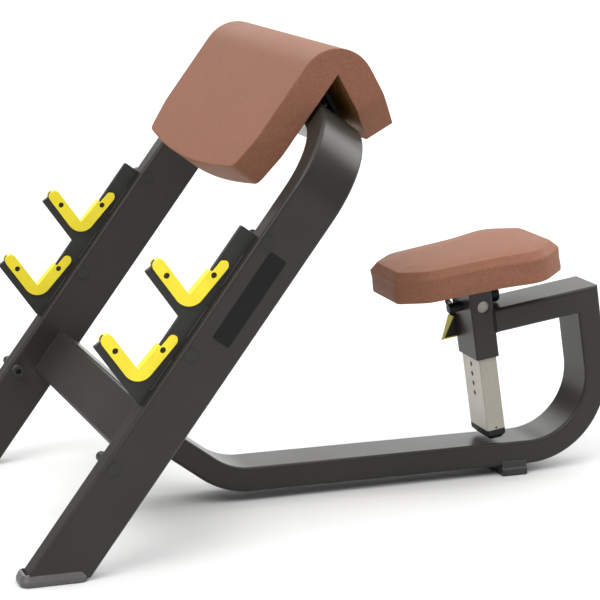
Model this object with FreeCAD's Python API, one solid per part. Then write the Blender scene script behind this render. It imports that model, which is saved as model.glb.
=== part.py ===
import FreeCAD, Part
import math
import os

# Preacher curl bench, millimetres. X runs from the rack side towards the seat, Y across, Z up.
# The origin is on the floor in the mid plane, under the middle of the rear foot.

Vec = FreeCAD.Vector
Place = FreeCAD.Placement
Turn = FreeCAD.Rotation
ACROSS = Vec(0, 1, 0)

# Flat steel tube of the whole frame
tube_wide = 100.0
tube_thin = 50.0
tube_wall = 3.0
tube_corner = 6.0
bend_radius = 150.0

# Hoop: two raked legs and a top bar, bent from one tube
leg_front_x = -1121.5
leg_rake = 53.4
leg_spacing = 790.0
top_bar_slope_height = 1002.0

# Crossbeam between the legs and the beam that runs from it to the seat
crossbeam_slope_height = 335.0
rear_foot_height = 21.5

# Seat column: leaned towards the pad, with the arm square to it
seat_lean = 8.5
sleeve_x = -59.5
sleeve_z = 251.0
sleeve_length = 150.0
sleeve_depth = 50.0
sleeve_width = 100.0
sleeve_wall = 3.0
sleeve_corner = 5.0
arm_knob_gap = 1.0
riser_distance = 235.0
sight_hole_radius = 13.0
sight_hole_offset = 2.5

# Seat post and its bushes
post_depth = 40.0
post_width = 90.0
post_wall = 2.5
post_corner = 4.0
post_tail = 159.0
post_clearance = 0.3
lower_bush_length = 50.0
upper_bush_length = 23.0
bush_flange = 4.0
post_cap_height = 16.0
post_cap_band = 7.0
post_cap_taper = 7.0
post_cap_plug = 18.0
cap_screw_radius = 2.5
cap_screw_rise = 8.0
cap_screw_length = 10.0

# Seat
seat_stop_gap = 0.3
seat_plate_thickness = 6.0
seat_plate_length = 200.0
seat_plate_width = 150.0
seat_plate_chamfer = 25.0
seat_bolt_inset = 22.0
seat_bolt_radius = 4.0
seat_bolt_head = 6.5
seat_bolt_head_height = 5.0
seat_board_thickness = 12.0
seat_board_inset = 14.0
seat_thickness = 63.0
seat_bevel = 15.0
seat_bevel_height = 16.0
seat_crown = 3.0
seat_draw_in = 1.5
seat_hem = 3.0
seat_front = 189.0
seat_back = 172.0
seat_front_half = 69.0
seat_front_round = 14.0
seat_cheek = 52.0
seat_cheek_half = 113.0
seat_cheek_round = 50.0
seat_waist = 20.0
seat_waist_half = 128.0
seat_waist_round = 160.0
seat_shoulder = 99.0
seat_half_width = 152.0
seat_shoulder_round = 50.0
seat_back_half = 86.0
seat_back_round = 36.0
seat_corner_ease = 0.6
seat_crown_inset = 40.0

# Lock pin, its barrel and the release lever
pin_drop = 42.0
pin_radius = 5.0
pin_fit = 0.05
pin_hole_pitch = 21.0
pin_hole_count = 10
pin_hole_radius = 5.4
pin_nose_gap = 0.4
pin_collar_radius = 6.9
pin_collar_length = 3.0
pin_collar_distance = 17.0
pin_guide_length = 3.0
barrel_radius = 10.0
barrel_bore = 7.2
barrel_length = 27.0
barrel_cap_thickness = 3.0
spring_wire = 1.2
spring_turns = 5
spring_length = 8.0
lever_pivot_x = -16.0
lever_pivot_drop = 38.0
lever_thickness = 3.0
lever_gap = 2.5
lever_axle_radius = 5.0
lever_axle_head = 8.0
lever_hub = 10.0
lever_hub_round = 8.0
lever_eye_round = 4.0
drive_rod_radius = 2.5
drive_rod_gap = 0.5
grip_thickness = 3.0
grip_width = 25.0
grip_tip_width = 6.0
grip_flange = 9.0
grip_top_x = -32.0
grip_top_drop = 28.0
grip_tip_x = -52.5
grip_tip_drop = 75.0
grip_heel_x = -14.0

# Clamp knob behind the sleeve, which takes up the post's play
clamp_drop = 30.0
clamp_knob_radius = 19.0
clamp_knob_length = 28.0
clamp_knob_round = 5.0
clamp_nut_radius = 10.0
clamp_nut_thickness = 2.0
clamp_stud_radius = 4.0
clamp_stud_depth = 20.0
clamp_gap = 0.3

# Feet
shoe_height = 22.0
shoe_floor = 6.0
shoe_margin = 5.0
shoe_front_margin = 5.0
shoe_back_margin = -5.0
shoe_draft = 4.5
shoe_corner = 16.0
rear_foot_length = 56.0
rear_foot_margin = 11.0
rear_foot_ridge = 15.0
rear_foot_lap = 9.0
rear_foot_round = 3.0

# Bar racks on the legs
rack_thickness = 10.0
rack_spine = 35.0
rack_top = 752.0
rack_bottom_depth = 10.0
rack_rim = 14.0
rack_round = 3.0
cradle_height = 597.0
cradle_reach = 44.0
cradle_pitch = 161.0
cradle_half_angle = 38.75
cradle_lean = 3.25
guard_thickness = 20.0
guard_depth = 24.0
guard_web = 6.0
guard_arm = 78.0
guard_bend = 30.0
guard_slit_back = 20.0
guard_screw_at = 55.0
guard_screw_radius = 3.0
guard_screw_head = 5.6
guard_screw_sink = 2.0
guard_socket_radius = 2.6
weld_leg = 5.0
weld_first = 417.0
weld_pitch = 113.0
weld_length = 68.0
weld_count = 3

# Bolts through the legs, near their front edge
leg_bolt_low = 266.0
leg_bolt_pitch = 243.0
leg_bolt_count = 3
leg_bolt_depth = 17.0
leg_bolt_radius = 5.0
leg_bolt_fit = 0.25
leg_cap_radius = 11.0
leg_cap_height = 2.5
leg_socket_radius = 12.0
leg_socket_height = 20.0
leg_socket_key = 6.0
leg_socket_depth = 8.0
leg_knob_radius = 10.0
leg_knob_length = 42.0
leg_knob_round = 4.0
leg_thread = 22.0

# Arm and chest pad on bent straps over the top bar
strap_thickness = 8.0
strap_width = 50.0
strap_spacing = 300.0
strap_bend = 4.0
strap_front_drop = 62.0
strap_back_length = 132.0
chest_slope = 61.3
pad_width = 600.0
pad_thickness = 62.0
pad_front_drop = 189.0
pad_back_length = 146.0
pad_apex_radius = 75.0
pad_edge_radius = 5.0
pad_hem_radius = 2.0
pad_crown = 1.5
pad_end_bevel = 2.0
pad_end_run = 3.0
pad_front_taper = 89.0
pad_front_taper_in = 21.0
pad_front_bow = 24.0
pad_back_taper = 68.0
pad_back_taper_in = 38.0
pad_board_thickness = 12.0
pad_board_margin = 16.0
soft_clearance = 0.3
strap_bolt_radius = 4.0
strap_bolt_head = 6.5
strap_bolt_head_height = 5.0
strap_bolt_grip = 9.0
strap_bolt_margin = 14.0

# Heights that follow from the sizes above: on the sleeve from its upper end, on the leg from the top bar
pin_height = sleeve_length - pin_drop
clamp_height = sleeve_length - clamp_drop
arm_height = clamp_height - clamp_knob_radius - arm_knob_gap - tube_thin / 2
lever_pivot_z = pin_height - lever_pivot_drop
grip_top_z = pin_height - grip_top_drop
grip_tip_z = pin_height - grip_tip_drop
pad_front_low = top_bar_slope_height - pad_front_drop
leg_bolt_heights = [leg_bolt_low + index * leg_bolt_pitch for index in range(leg_bolt_count)]

# Frames of reference. Leg frame: x up the leg, y across, z square out of the leg's front face.
# Seat frame: x away from the pad along the arm, y across, z up the post, zero at the sleeve's lower end.
leg_frame = Place(Vec(leg_front_x, 0, 0), Turn(ACROSS, -leg_rake))
seat_frame = Place(Vec(sleeve_x, 0, sleeve_z), Turn(ACROSS, -seat_lean))

nodes = {}


def put(name, solids, frame=None):
    """Keep a node's solids, moved from their own frame to the bench's."""
    shape = solids if isinstance(solids, Part.Shape) else Part.makeCompound(solids)
    if frame is not None:
        shape = shape.copy()
        shape.transformShape(frame.toMatrix(), True)
    nodes[name] = shape


def outline_edges(corners):
    """Closed outline in the XZ plane from (x, z, radius) corners, each rounded by its radius."""
    points = [Vec(x, 0, z) for x, z, radius in corners]
    marks = []
    for index, (x, z, radius) in enumerate(corners):
        here = points[index]
        back = (points[index - 1] - here).normalize()
        ahead = (points[(index + 1) % len(points)] - here).normalize()
        if radius <= 0:
            marks.append((here, here, here))
            continue
        half = back.getAngle(ahead) / 2
        reach = radius / math.tan(half)
        bisector = (back + ahead).normalize()
        middle = here + bisector * (radius / math.sin(half) - radius)
        marks.append((here + back * reach, middle, here + ahead * reach))
    edges = []
    for index, (start, middle, end) in enumerate(marks):
        if (end - start).Length > 1e-6:
            edges.append(Part.Arc(start, middle, end).toShape())
        after = marks[(index + 1) % len(marks)][0]
        if (after - end).Length > 1e-6:
            edges.append(Part.LineSegment(end, after).toShape())
    return edges


def outline_wire(corners, y=0.0):
    wire = Part.Wire(outline_edges(corners))
    wire.translate(Vec(0, y, 0))
    return wire


def slab(corners, y_low, y_high):
    """Plate of an XZ outline between two Y values."""
    return Part.Face(outline_wire(corners, y_low)).extrude(Vec(0, y_high - y_low, 0))


def rectangle(depth, width, corner, z):
    """Rounded rectangle in the XY plane at height z, depth along X and width along Y."""
    half_x = depth / 2
    half_y = width / 2
    corners = [(-half_x, -half_y, corner), (half_x, -half_y, corner),
               (half_x, half_y, corner), (-half_x, half_y, corner)]
    wire = Part.Wire(outline_edges(corners))
    wire.rotate(Vec(0, 0, 0), Vec(1, 0, 0), -90)
    wire.translate(Vec(0, 0, z))
    return wire


def prism(depth, width, corner, z_low, z_high):
    return Part.Face(rectangle(depth, width, corner, z_low)).extrude(Vec(0, 0, z_high - z_low))


def loft(wires, ruled=True):
    return Part.makeLoft(wires, True, ruled)


def rod(start, along, radius):
    """Cylinder from a point along a vector."""
    return Part.makeCylinder(radius, along.Length, start, along)


def half_space(point, outward, size):
    """Large block whose face lies at a point and which fills the outward side."""
    block = Part.makeBox(size, size, size, Vec(-size / 2, -size / 2, 0))
    block.Placement = Place(point, Turn(Vec(0, 0, 1), outward))
    return block


def tube_section(hollow=True):
    """Section of the frame tube in the YZ plane: thin along Y, wide along Z."""
    section = Part.Face(rectangle(tube_wide, tube_thin, tube_corner, 0))
    if hollow:
        inside = rectangle(tube_wide - 2 * tube_wall, tube_thin - 2 * tube_wall, tube_corner - tube_wall, 0)
        section = section.cut(Part.Face(inside)).Faces[0]
    section.rotate(Vec(0, 0, 0), ACROSS, 90)
    return section


def bent_tube(start_x, start_y, heading, steps, hollow=True):
    """Tube along straight runs and bends in the XY plane, wide side square to that plane."""
    x, y = start_x, start_y
    pieces = []
    for length, turn in steps:
        section = tube_section(hollow)
        section.rotate(Vec(0, 0, 0), Vec(0, 0, 1), heading)
        section.translate(Vec(x, y, 0))
        ahead = Vec(math.cos(math.radians(heading)), math.sin(math.radians(heading)), 0)
        pieces.append(section.extrude(ahead * length))
        x, y = x + ahead.x * length, y + ahead.y * length
        if turn == 0:
            continue
        side = math.copysign(1.0, turn)
        centre = Vec(x - side * ahead.y * bend_radius, y + side * ahead.x * bend_radius, 0)
        section = tube_section(hollow)
        section.rotate(Vec(0, 0, 0), Vec(0, 0, 1), heading)
        section.translate(Vec(x, y, 0))
        pieces.append(section.revolve(centre, Vec(0, 0, side), abs(turn)))
        arm = Vec(x, y, 0) - centre
        swung = Turn(Vec(0, 0, 1), turn).multVec(arm)
        x, y = centre.x + swung.x, centre.y + swung.y
        heading += turn
    return pieces[0].multiFuse(pieces[1:]).removeSplitter()


def in_leg_plane(shape):
    """Move a shape drawn with x across and y up the leg so that it straddles the leg's middle."""
    turned = Turn(ACROSS, Vec(1, 0, 0), Vec(0, 0, -1), "XYZ")
    shape.transformShape(Place(Vec(0, 0, -tube_wide / 2), turned).toMatrix())
    return shape


# Hoop
leg_y = leg_spacing / 2
leg_outer = leg_y + tube_thin / 2
leg_inner = leg_y - tube_thin / 2
leg_run = top_bar_slope_height - bend_radius
leg_below = tube_wide
hoop_steps = ((leg_run + leg_below, -90), (leg_spacing - 2 * bend_radius, -90), (leg_run + leg_below, 0))
hoop = in_leg_plane(bent_tube(-leg_y, -leg_below, 90, hoop_steps))
hoop.transformShape(leg_frame.toMatrix())
below_legs = half_space(Vec(leg_front_x, 0, shoe_floor), Vec(0, 0, -1), 2 * top_bar_slope_height)
hoop = hoop.cut(below_legs)
leg_sides = {"left": -1, "right": 1}
for side in leg_sides.values():
    for height in leg_bolt_heights:
        hole = rod(Vec(height, side * leg_y - tube_thin, -leg_bolt_depth), ACROSS * (2 * tube_thin),
                   leg_bolt_radius + leg_bolt_fit)
        hole.transformShape(leg_frame.toMatrix())
        hoop = hoop.cut(hole)
put("main_hoop", hoop)

# Shoes under the leg ends
leg_foot_start = shoe_floor / math.tan(math.radians(leg_rake))
leg_foot_length = tube_wide / math.sin(math.radians(leg_rake))
shoe_length = leg_foot_length + shoe_front_margin + shoe_back_margin
shoe_width = tube_thin + 2 * shoe_margin
shoe_x = leg_front_x + leg_foot_start - shoe_front_margin + shoe_length / 2
leg_solid = in_leg_plane(bent_tube(0, -leg_below, 90, ((leg_run, 0),), hollow=False))
leg_solid.transformShape(leg_frame.toMatrix())
leg_solid = leg_solid.cut(below_legs)
for name, side in leg_sides.items():
    sole = rectangle(shoe_length, shoe_width, shoe_corner, 0)
    brim = rectangle(shoe_length - 2 * shoe_draft, shoe_width - 2 * shoe_draft, shoe_corner - shoe_draft,
                     shoe_height)
    shoe = loft([sole, brim])
    shoe.translate(Vec(shoe_x, side * leg_y, 0))
    socket = leg_solid.copy()
    socket.translate(Vec(0, side * leg_y, 0))
    put(name + "_foot_shoe", shoe.cut(socket))

# Crossbeam: wide side along the legs, back face in line with the legs' back face
crossbeam = bent_tube(-leg_inner, 0, 0, ((2 * leg_inner, 0),))
crossbeam_turn = Turn(ACROSS, Vec(0, 0, 1), Vec(1, 0, 0), "XYZ")
crossbeam_seat = Vec(crossbeam_slope_height, 0, tube_thin / 2 - tube_wide)
crossbeam.transformShape(Place(crossbeam_seat, crossbeam_turn).toMatrix())
put("crossbeam", crossbeam, leg_frame)

# Seat beam: from the back of the crossbeam to the floor run, round the U bend and up the riser
beam_start = leg_frame.multVec(Vec(crossbeam_slope_height, 0, -tube_wide))
beam_z = rear_foot_height + tube_thin / 2
beam_dip = 90 - leg_rake
dip_length = (beam_start.z - beam_z) / math.sin(math.radians(beam_dip))
dip_corner_x = beam_start.x + dip_length * math.cos(math.radians(beam_dip))
dip_tangent = bend_radius * math.tan(math.radians(beam_dip / 2))
mitre = seat_frame.multVec(Vec(riser_distance, 0, arm_height))
riser_rise = (mitre.z - beam_z) / math.cos(math.radians(seat_lean))
riser_foot_x = mitre.x + riser_rise * math.sin(math.radians(seat_lean))
u_turn = 90 + seat_lean
u_tangent = bend_radius * math.tan(math.radians(u_turn / 2))
floor_run = riser_foot_x - u_tangent - dip_corner_x - dip_tangent
riser_run = riser_rise - u_tangent + tube_thin
beam_steps = ((dip_length - dip_tangent, beam_dip), (floor_run, u_turn), (riser_run, 0))
beam = bent_tube(beam_start.x, beam_start.z, -beam_dip, beam_steps)
beam.rotate(Vec(0, 0, 0), Vec(1, 0, 0), 90)
mitre_cut = 4 * tube_wide
mitre_up = seat_frame.Rotation.multVec(Vec(-1, 0, 1))
put("seat_beam", beam.cut(half_space(mitre, mitre_up, mitre_cut)))

# Arm, mitred to the riser and butted on the sleeve
arm_start = sleeve_depth / 2
arm = bent_tube(arm_start, arm_height, 0, ((riser_distance - arm_start + tube_thin, 0),))
arm.rotate(Vec(0, 0, 0), Vec(1, 0, 0), 90)
arm.transformShape(seat_frame.toMatrix())
put("seat_arm", arm.cut(half_space(mitre, mitre_up.negative(), mitre_cut)))

# Rubber boot under the seat beam
boot_half = tube_wide / 2 + rear_foot_margin
boot_lip = rear_foot_height + rear_foot_lap
boot_top_half = tube_wide / 2 + rear_foot_round
boot_section = [(-boot_half, 0, rear_foot_round), (boot_half, 0, rear_foot_round),
                (boot_half, rear_foot_ridge, rear_foot_round), (boot_top_half, boot_lip, 0),
                (-boot_top_half, boot_lip, 0), (-boot_half, rear_foot_ridge, rear_foot_round)]
boot = slab(boot_section, -rear_foot_length / 2, rear_foot_length / 2)
boot.rotate(Vec(0, 0, 0), Vec(0, 0, 1), 90)
boot_seat = prism(2 * rear_foot_length, tube_wide, 0, rear_foot_height, boot_lip + tube_thin)
put("rear_foot", boot.cut(boot_seat))

# Sleeve with its sight hole, pin hole and clamp hole
sleeve = prism(sleeve_depth, sleeve_width, sleeve_corner, 0, sleeve_length)
bore_depth = sleeve_depth - 2 * sleeve_wall
bore_width = sleeve_width - 2 * sleeve_wall
bore_corner = sleeve_corner - sleeve_wall
sleeve = sleeve.cut(prism(bore_depth, bore_width, bore_corner, 0, sleeve_length))
sleeve_front = -sleeve_depth / 2
sleeve_half = sleeve_width / 2
sight_hole = rod(Vec(sight_hole_offset, -sleeve_width, pin_height), ACROSS * sleeve_width, sight_hole_radius)
pin_way = rod(Vec(sleeve_front - 1, 0, pin_height), Vec(sleeve_wall + 2, 0, 0), pin_radius + pin_fit)
clamp_way = rod(Vec(0, 0, clamp_height), Vec(sleeve_depth, 0, 0), clamp_stud_radius + pin_fit)
put("seat_sleeve", sleeve.cut(sight_hole).cut(pin_way).cut(clamp_way), seat_frame)

# Bushes between the sleeve and the post
slide_depth = post_depth + 2 * post_clearance
slide_width = post_width + 2 * post_clearance
slide_corner = post_corner + post_clearance
seat_plate_z = sleeve_length + bush_flange + seat_stop_gap
lower_bush = prism(bore_depth, bore_width, bore_corner, 0, lower_bush_length)
lower_bush = lower_bush.cut(prism(slide_depth, slide_width, slide_corner, 0, lower_bush_length))
put("lower_bush", lower_bush, seat_frame)
upper_bush = prism(bore_depth, bore_width, bore_corner, sleeve_length - upper_bush_length, sleeve_length)
flange = prism(sleeve_depth, sleeve_width, sleeve_corner, sleeve_length, sleeve_length + bush_flange)
upper_bush = upper_bush.fuse(flange).removeSplitter()
upper_bush = upper_bush.cut(prism(slide_depth, slide_width, slide_corner, 0, seat_plate_z))
put("upper_bush", upper_bush, seat_frame)

# Clamp knob on a stud that is threaded through the sleeve's back wall
stud_tip = post_depth / 2 + clamp_gap
nut_back = sleeve_depth / 2 + clamp_nut_thickness
knob_start = nut_back + clamp_gap
stud_length = knob_start + clamp_stud_depth - stud_tip
stud = rod(Vec(stud_tip, 0, clamp_height), Vec(stud_length, 0, 0), clamp_stud_radius)
clamp_nut = rod(Vec(sleeve_depth / 2, 0, clamp_height), Vec(clamp_nut_thickness, 0, 0), clamp_nut_radius)
clamp_knob = rod(Vec(knob_start, 0, clamp_height), Vec(clamp_knob_length, 0, 0), clamp_knob_radius)
knob_end = knob_start + clamp_knob_length
knob_rims = [edge for edge in clamp_knob.Edges if edge.BoundBox.XMin > knob_end - clamp_gap]
clamp_knob = clamp_knob.makeFillet(clamp_knob_round, knob_rims)
put("clamp_nut", clamp_nut.cut(clamp_way), seat_frame)
put("clamp_stud", stud, seat_frame)
put("clamp_knob", clamp_knob.cut(stud), seat_frame)

# Seat post with its row of lock holes
post_low = -post_tail
post = prism(post_depth, post_width, post_corner, post_low, seat_plate_z)
post_inner_corner = post_corner - post_wall
post_inner_depth = post_depth - 2 * post_wall
post_inner_width = post_width - 2 * post_wall
post = post.cut(prism(post_inner_depth, post_inner_width, post_inner_corner, post_low, seat_plate_z))
for index in range(pin_hole_count):
    hole_z = pin_height - index * pin_hole_pitch
    post = post.cut(rod(Vec(-post_depth / 2 - 1, 0, hole_z), Vec(post_wall + 2, 0, 0), pin_hole_radius))
cap_screw_z = post_low + cap_screw_rise
screw_starts = {-1: -post_width / 2, 1: post_width / 2 - cap_screw_length}
cap_screw_shapes = [rod(Vec(0, start, cap_screw_z), ACROSS * cap_screw_length, cap_screw_radius)
                    for start in screw_starts.values()]
for screw in cap_screw_shapes:
    post = post.cut(screw)
put("seat_post", post, seat_frame)
put("cap_screws", cap_screw_shapes, seat_frame)

# Plastic end cap plugged into the post
cap_head = loft([rectangle(post_depth - 2 * post_cap_taper, post_width - 2 * post_cap_taper, post_corner,
                           post_low - post_cap_height),
                 rectangle(post_depth, post_width, post_corner, post_low - post_cap_band),
                 rectangle(post_depth, post_width, post_corner, post_low)])
cap_plug = prism(post_inner_depth, post_inner_width, post_inner_corner, post_low, post_low + post_cap_plug)
post_cap = cap_head.fuse(cap_plug).removeSplitter()
for screw in cap_screw_shapes:
    post_cap = post_cap.cut(screw)
put("post_cap", post_cap, seat_frame)

# Seat plate and its bolts
board_z = seat_plate_z + seat_plate_thickness
half_length = seat_plate_length / 2
half_plate = seat_plate_width / 2
plate_corners = []
for x_side, y_side in ((-1, -1), (1, -1), (1, 1), (-1, 1)):
    along_cut = (x_side * half_length, y_side * (half_plate - seat_plate_chamfer), 0)
    across_cut = (x_side * (half_length - seat_plate_chamfer), y_side * half_plate, 0)
    plate_corners += [along_cut, across_cut] if x_side * y_side > 0 else [across_cut, along_cut]
plate_wire = Part.Wire(outline_edges(plate_corners))
plate_wire.rotate(Vec(0, 0, 0), Vec(1, 0, 0), -90)
plate_wire.translate(Vec(0, 0, seat_plate_z))
seat_plate = Part.Face(plate_wire).extrude(Vec(0, 0, seat_plate_thickness))
seat_bolts = []
for x_side in (-1, 1):
    for y_side in (-1, 1):
        bolt_y = half_plate - seat_plate_chamfer - seat_bolt_head
        at = Vec(x_side * (half_length - seat_bolt_inset), y_side * bolt_y, seat_plate_z)
        shank = rod(at, Vec(0, 0, seat_plate_thickness + seat_board_thickness), seat_bolt_radius)
        head = rod(at - Vec(0, 0, seat_bolt_head_height), Vec(0, 0, seat_bolt_head_height), seat_bolt_head)
        seat_plate = seat_plate.cut(shank)
        seat_bolts.append(head.fuse(shank).removeSplitter())
put("seat_plate", seat_plate, seat_frame)
put("seat_bolts", seat_bolts, seat_frame)


def seat_outline(inset, z):
    """Seat plan: narrow at the pad side, broad shoulders at the back, drawn in all round by inset."""
    narrow = seat_corner_ease * inset
    right = [(inset - seat_front, seat_front_half - narrow, seat_front_round),
             (narrow - seat_front + seat_cheek, seat_cheek_half - narrow, seat_cheek_round),
             (seat_waist, seat_waist_half - inset, seat_waist_round),
             (seat_shoulder, seat_half_width - inset, seat_shoulder_round),
             (seat_back - inset, seat_back_half - narrow, seat_back_round)]
    left = [(x, -y, radius) for x, y, radius in reversed(right)]
    wire = Part.Wire(outline_edges(right + left))
    wire.rotate(Vec(0, 0, 0), Vec(1, 0, 0), -90)
    wire.translate(Vec(0, 0, z))
    return wire


# Seat board and cushion. The cushion wraps the board's edge, so the board lies in a pocket under it.
seat_top = board_z + seat_thickness
board_wire = seat_outline(seat_board_inset, board_z)
seat_board = Part.Face(board_wire).extrude(Vec(0, 0, seat_board_thickness))
for bolt in seat_bolts:
    seat_board = seat_board.cut(bolt)
put("seat_board", seat_board, seat_frame)
shoulder_z = seat_top - seat_bevel_height
side_middle = (board_z + shoulder_z) / 2
seat_levels = ((seat_hem, board_z), (0.0, board_z + seat_hem), (seat_draw_in, side_middle),
               (0.0, shoulder_z), (seat_bevel, seat_top), (seat_crown_inset, seat_top + seat_crown))
seat_cushion = loft([seat_outline(inset, z) for inset, z in seat_levels])
pocket = Part.Face(seat_outline(seat_board_inset - soft_clearance, board_z))
pocket = pocket.extrude(Vec(0, 0, seat_board_thickness + soft_clearance))
put("seat_cushion", seat_cushion.cut(pocket), seat_frame)

# Lock pin, nose just clear of the post, with the collar that the lever's rod pushes
pin_nose = -post_depth / 2 - pin_nose_gap
collar_back = pin_nose - pin_collar_distance
pin_axis = Vec(-1, 0, 0)
pin_length = pin_collar_distance + pin_collar_length + pin_guide_length
lock_pin = rod(Vec(pin_nose, 0, pin_height), pin_axis * pin_length, pin_radius)
collar = rod(Vec(collar_back, 0, pin_height), pin_axis * pin_collar_length, pin_collar_radius)
put("lock_pin", lock_pin.fuse(collar).removeSplitter(), seat_frame)

# Drive rod of the lever, behind the collar
rod_x = collar_back + drive_rod_gap + drive_rod_radius
lever_low = sleeve_half + lever_gap
lever_high = lever_low + lever_thickness
drive_rod = rod(Vec(rod_x, pin_radius + drive_rod_gap, pin_height),
                ACROSS * (lever_high - pin_radius - drive_rod_gap), drive_rod_radius)
put("drive_rod", drive_rod, seat_frame)

# Barrel with the slot that the drive rod works in, its cap and the spring
barrel_end = sleeve_front - barrel_length
barrel = rod(Vec(sleeve_front, 0, pin_height), pin_axis * barrel_length, barrel_radius)
barrel = barrel.cut(rod(Vec(sleeve_front, 0, pin_height), pin_axis * barrel_length, barrel_bore))
slot_back = sleeve_front - drive_rod_gap
slot_front = collar_back - pin_collar_length
slot_half = 2 * drive_rod_radius + drive_rod_gap
slot = Part.makeBox(slot_back - slot_front, barrel_radius, 2 * slot_half,
                    Vec(slot_front, pin_radius, pin_height - slot_half))
put("pin_barrel", barrel.cut(slot), seat_frame)
cap_disc = rod(Vec(barrel_end, 0, pin_height), pin_axis * barrel_cap_thickness, barrel_radius)
put("barrel_cap", cap_disc, seat_frame)
spring_radius = barrel_bore - spring_wire
spring_rise = spring_length - spring_wire
coil = Part.makeHelix(spring_rise / spring_turns, spring_rise, spring_radius)
wire_start = Part.Wire(Part.makeCircle(spring_wire / 2, Vec(spring_radius, 0, 0), ACROSS))
spring = Part.Wire(coil.Edges).makePipeShell([wire_start], True, True)
spring.rotate(Vec(0, 0, 0), ACROSS, 90)
spring.translate(Vec(barrel_end + spring_wire / 2, 0, pin_height))
put("pin_spring", spring, seat_frame)

# Lever axle on the sleeve's far side
axle_root = Vec(lever_pivot_x, sleeve_half, lever_pivot_z)
axle_spacer = rod(axle_root, ACROSS * (lever_gap - pin_fit), lever_axle_head)
axle_shank = rod(axle_root, ACROSS * (lever_gap + lever_thickness + lever_gap), lever_axle_radius)
axle_head = rod(Vec(lever_pivot_x, lever_high + pin_fit, lever_pivot_z), ACROSS * (lever_gap - pin_fit),
                lever_axle_head)
put("lever_axle", axle_spacer.fuse([axle_shank, axle_head]).removeSplitter(), seat_frame)

# Lever plate: a bell crank with the drive rod above the axle and the grip below it
lever_eye = 2 * drive_rod_radius
lever_back = lever_pivot_x + lever_hub
lever_corners = [(rod_x - lever_eye, pin_height + lever_eye, lever_eye_round),
                 (rod_x + lever_eye, pin_height + lever_eye, lever_eye_round),
                 (lever_back, lever_pivot_z + lever_hub, lever_hub_round),
                 (lever_back, lever_pivot_z - lever_hub, lever_hub_round),
                 (grip_heel_x, grip_tip_z, 0), (grip_tip_x, grip_tip_z, 0), (grip_top_x, grip_top_z, 0)]
lever_plate = slab(lever_corners, lever_low, lever_high)
lever_plate = lever_plate.cut(rod(Vec(lever_pivot_x, 0, lever_pivot_z), ACROSS * tube_wide,
                                  lever_axle_radius + pin_fit))
put("lever_plate", lever_plate.cut(drive_rod), seat_frame)

# Grip: a tapered strip folded in along the lever plate's front edge, and one folded out along its lower edge
tip_angle = math.atan2(grip_top_z - grip_tip_z, grip_top_x - grip_tip_x)
strip_out_x = grip_thickness * math.sin(tip_angle)
strip_out_z = grip_thickness * math.cos(tip_angle)
tip_shift = grip_thickness / math.tan(tip_angle / 2)
grip_toe = (grip_tip_x - tip_shift, grip_tip_z - grip_thickness)
front_corners = [(grip_top_x, grip_top_z, 0), (grip_tip_x, grip_tip_z, 0), (*grip_toe, 0),
                 (grip_top_x - strip_out_x, grip_top_z + strip_out_z, 0)]
front_strip = slab(front_corners, lever_high - grip_width, lever_high)
taper_low = grip_tip_z - grip_thickness
taper_high = grip_top_z + grip_thickness
trim_points = [Vec(-tube_wide, lever_high - grip_width, taper_high),
               Vec(-tube_wide, lever_high - grip_tip_width, taper_low),
               Vec(-tube_wide, lever_high - 2 * grip_width, taper_low)]
trim = Part.Face(Part.makePolygon(trim_points + trim_points[:1])).extrude(Vec(tube_wide, 0, 0))
lower_corners = [(grip_tip_x, grip_tip_z, 0), (grip_heel_x, grip_tip_z, 0),
                 (grip_heel_x, grip_tip_z - grip_thickness, 0), (*grip_toe, 0)]
lower_strip = slab(lower_corners, lever_low, lever_low + grip_flange)
put("lever_grip", front_strip.cut(trim).fuse(lower_strip).removeSplitter(), seat_frame)

# Bar cradles. Arm directions in the leg frame, from the vertical and the cradle's lean.
cradle_axis = 90 - cradle_lean - leg_rake
front_arm = math.radians(cradle_axis + cradle_half_angle)
rear_arm = math.radians(cradle_axis - cradle_half_angle)


def cradle_point(vertex, arm, along, depth):
    """Point at a distance along one arm of a V and at a depth below its upper surface."""
    x, z = vertex
    below = 1 if arm == rear_arm else -1
    return (x + along * math.cos(arm) + below * depth * math.sin(arm),
            z + along * math.sin(arm) - below * depth * math.cos(arm))


def v_corner(vertex, depth):
    """Where the lines at one depth below both arms of a V meet."""
    x, z = vertex
    axis = math.radians(cradle_axis)
    drop = depth / math.sin(math.radians(cradle_half_angle))
    return (x - drop * math.cos(axis), z - drop * math.sin(axis))


def along_to_level(vertex, arm, depth, level):
    """Distance along a line under one arm at which it reaches a height above the leg's face."""
    start = cradle_point(vertex, arm, 0, depth)
    return (level - start[1]) / math.sin(arm)


upper_vertex = (cradle_height, cradle_reach)
lower_vertex = (cradle_height - cradle_pitch, cradle_reach)
rim_depth = guard_depth + rack_rim
plate_tip = guard_arm + guard_depth / 4


def arm_outline(vertex, low_level):
    """Rack outline from the leg up round one front arm and down into its V to the spine."""
    tip_inner = cradle_point(vertex, front_arm, plate_tip, guard_web)
    tip_outer = cradle_point(vertex, front_arm, plate_tip, rim_depth)
    foot_along = along_to_level(vertex, front_arm, rim_depth, low_level)
    foot = cradle_point(vertex, front_arm, foot_along, rim_depth)
    valley = v_corner(vertex, guard_web)
    climb_along = along_to_level(vertex, rear_arm, guard_web, rack_spine)
    climb = cradle_point(vertex, rear_arm, climb_along, guard_web)
    rounded = [(*point, rack_round) for point in (tip_outer, tip_inner, valley)]
    return [(*foot, 0)] + rounded + [(*climb, 0)]


lower_arm = arm_outline(lower_vertex, rack_bottom_depth)
rack_corners = ([(lower_arm[0][0], 0, 0)] + lower_arm + arm_outline(upper_vertex, rack_spine)
                + [(rack_top, rack_spine, rack_round), (rack_top, 0, 0)])
guard_tip = guard_depth / 2


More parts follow.
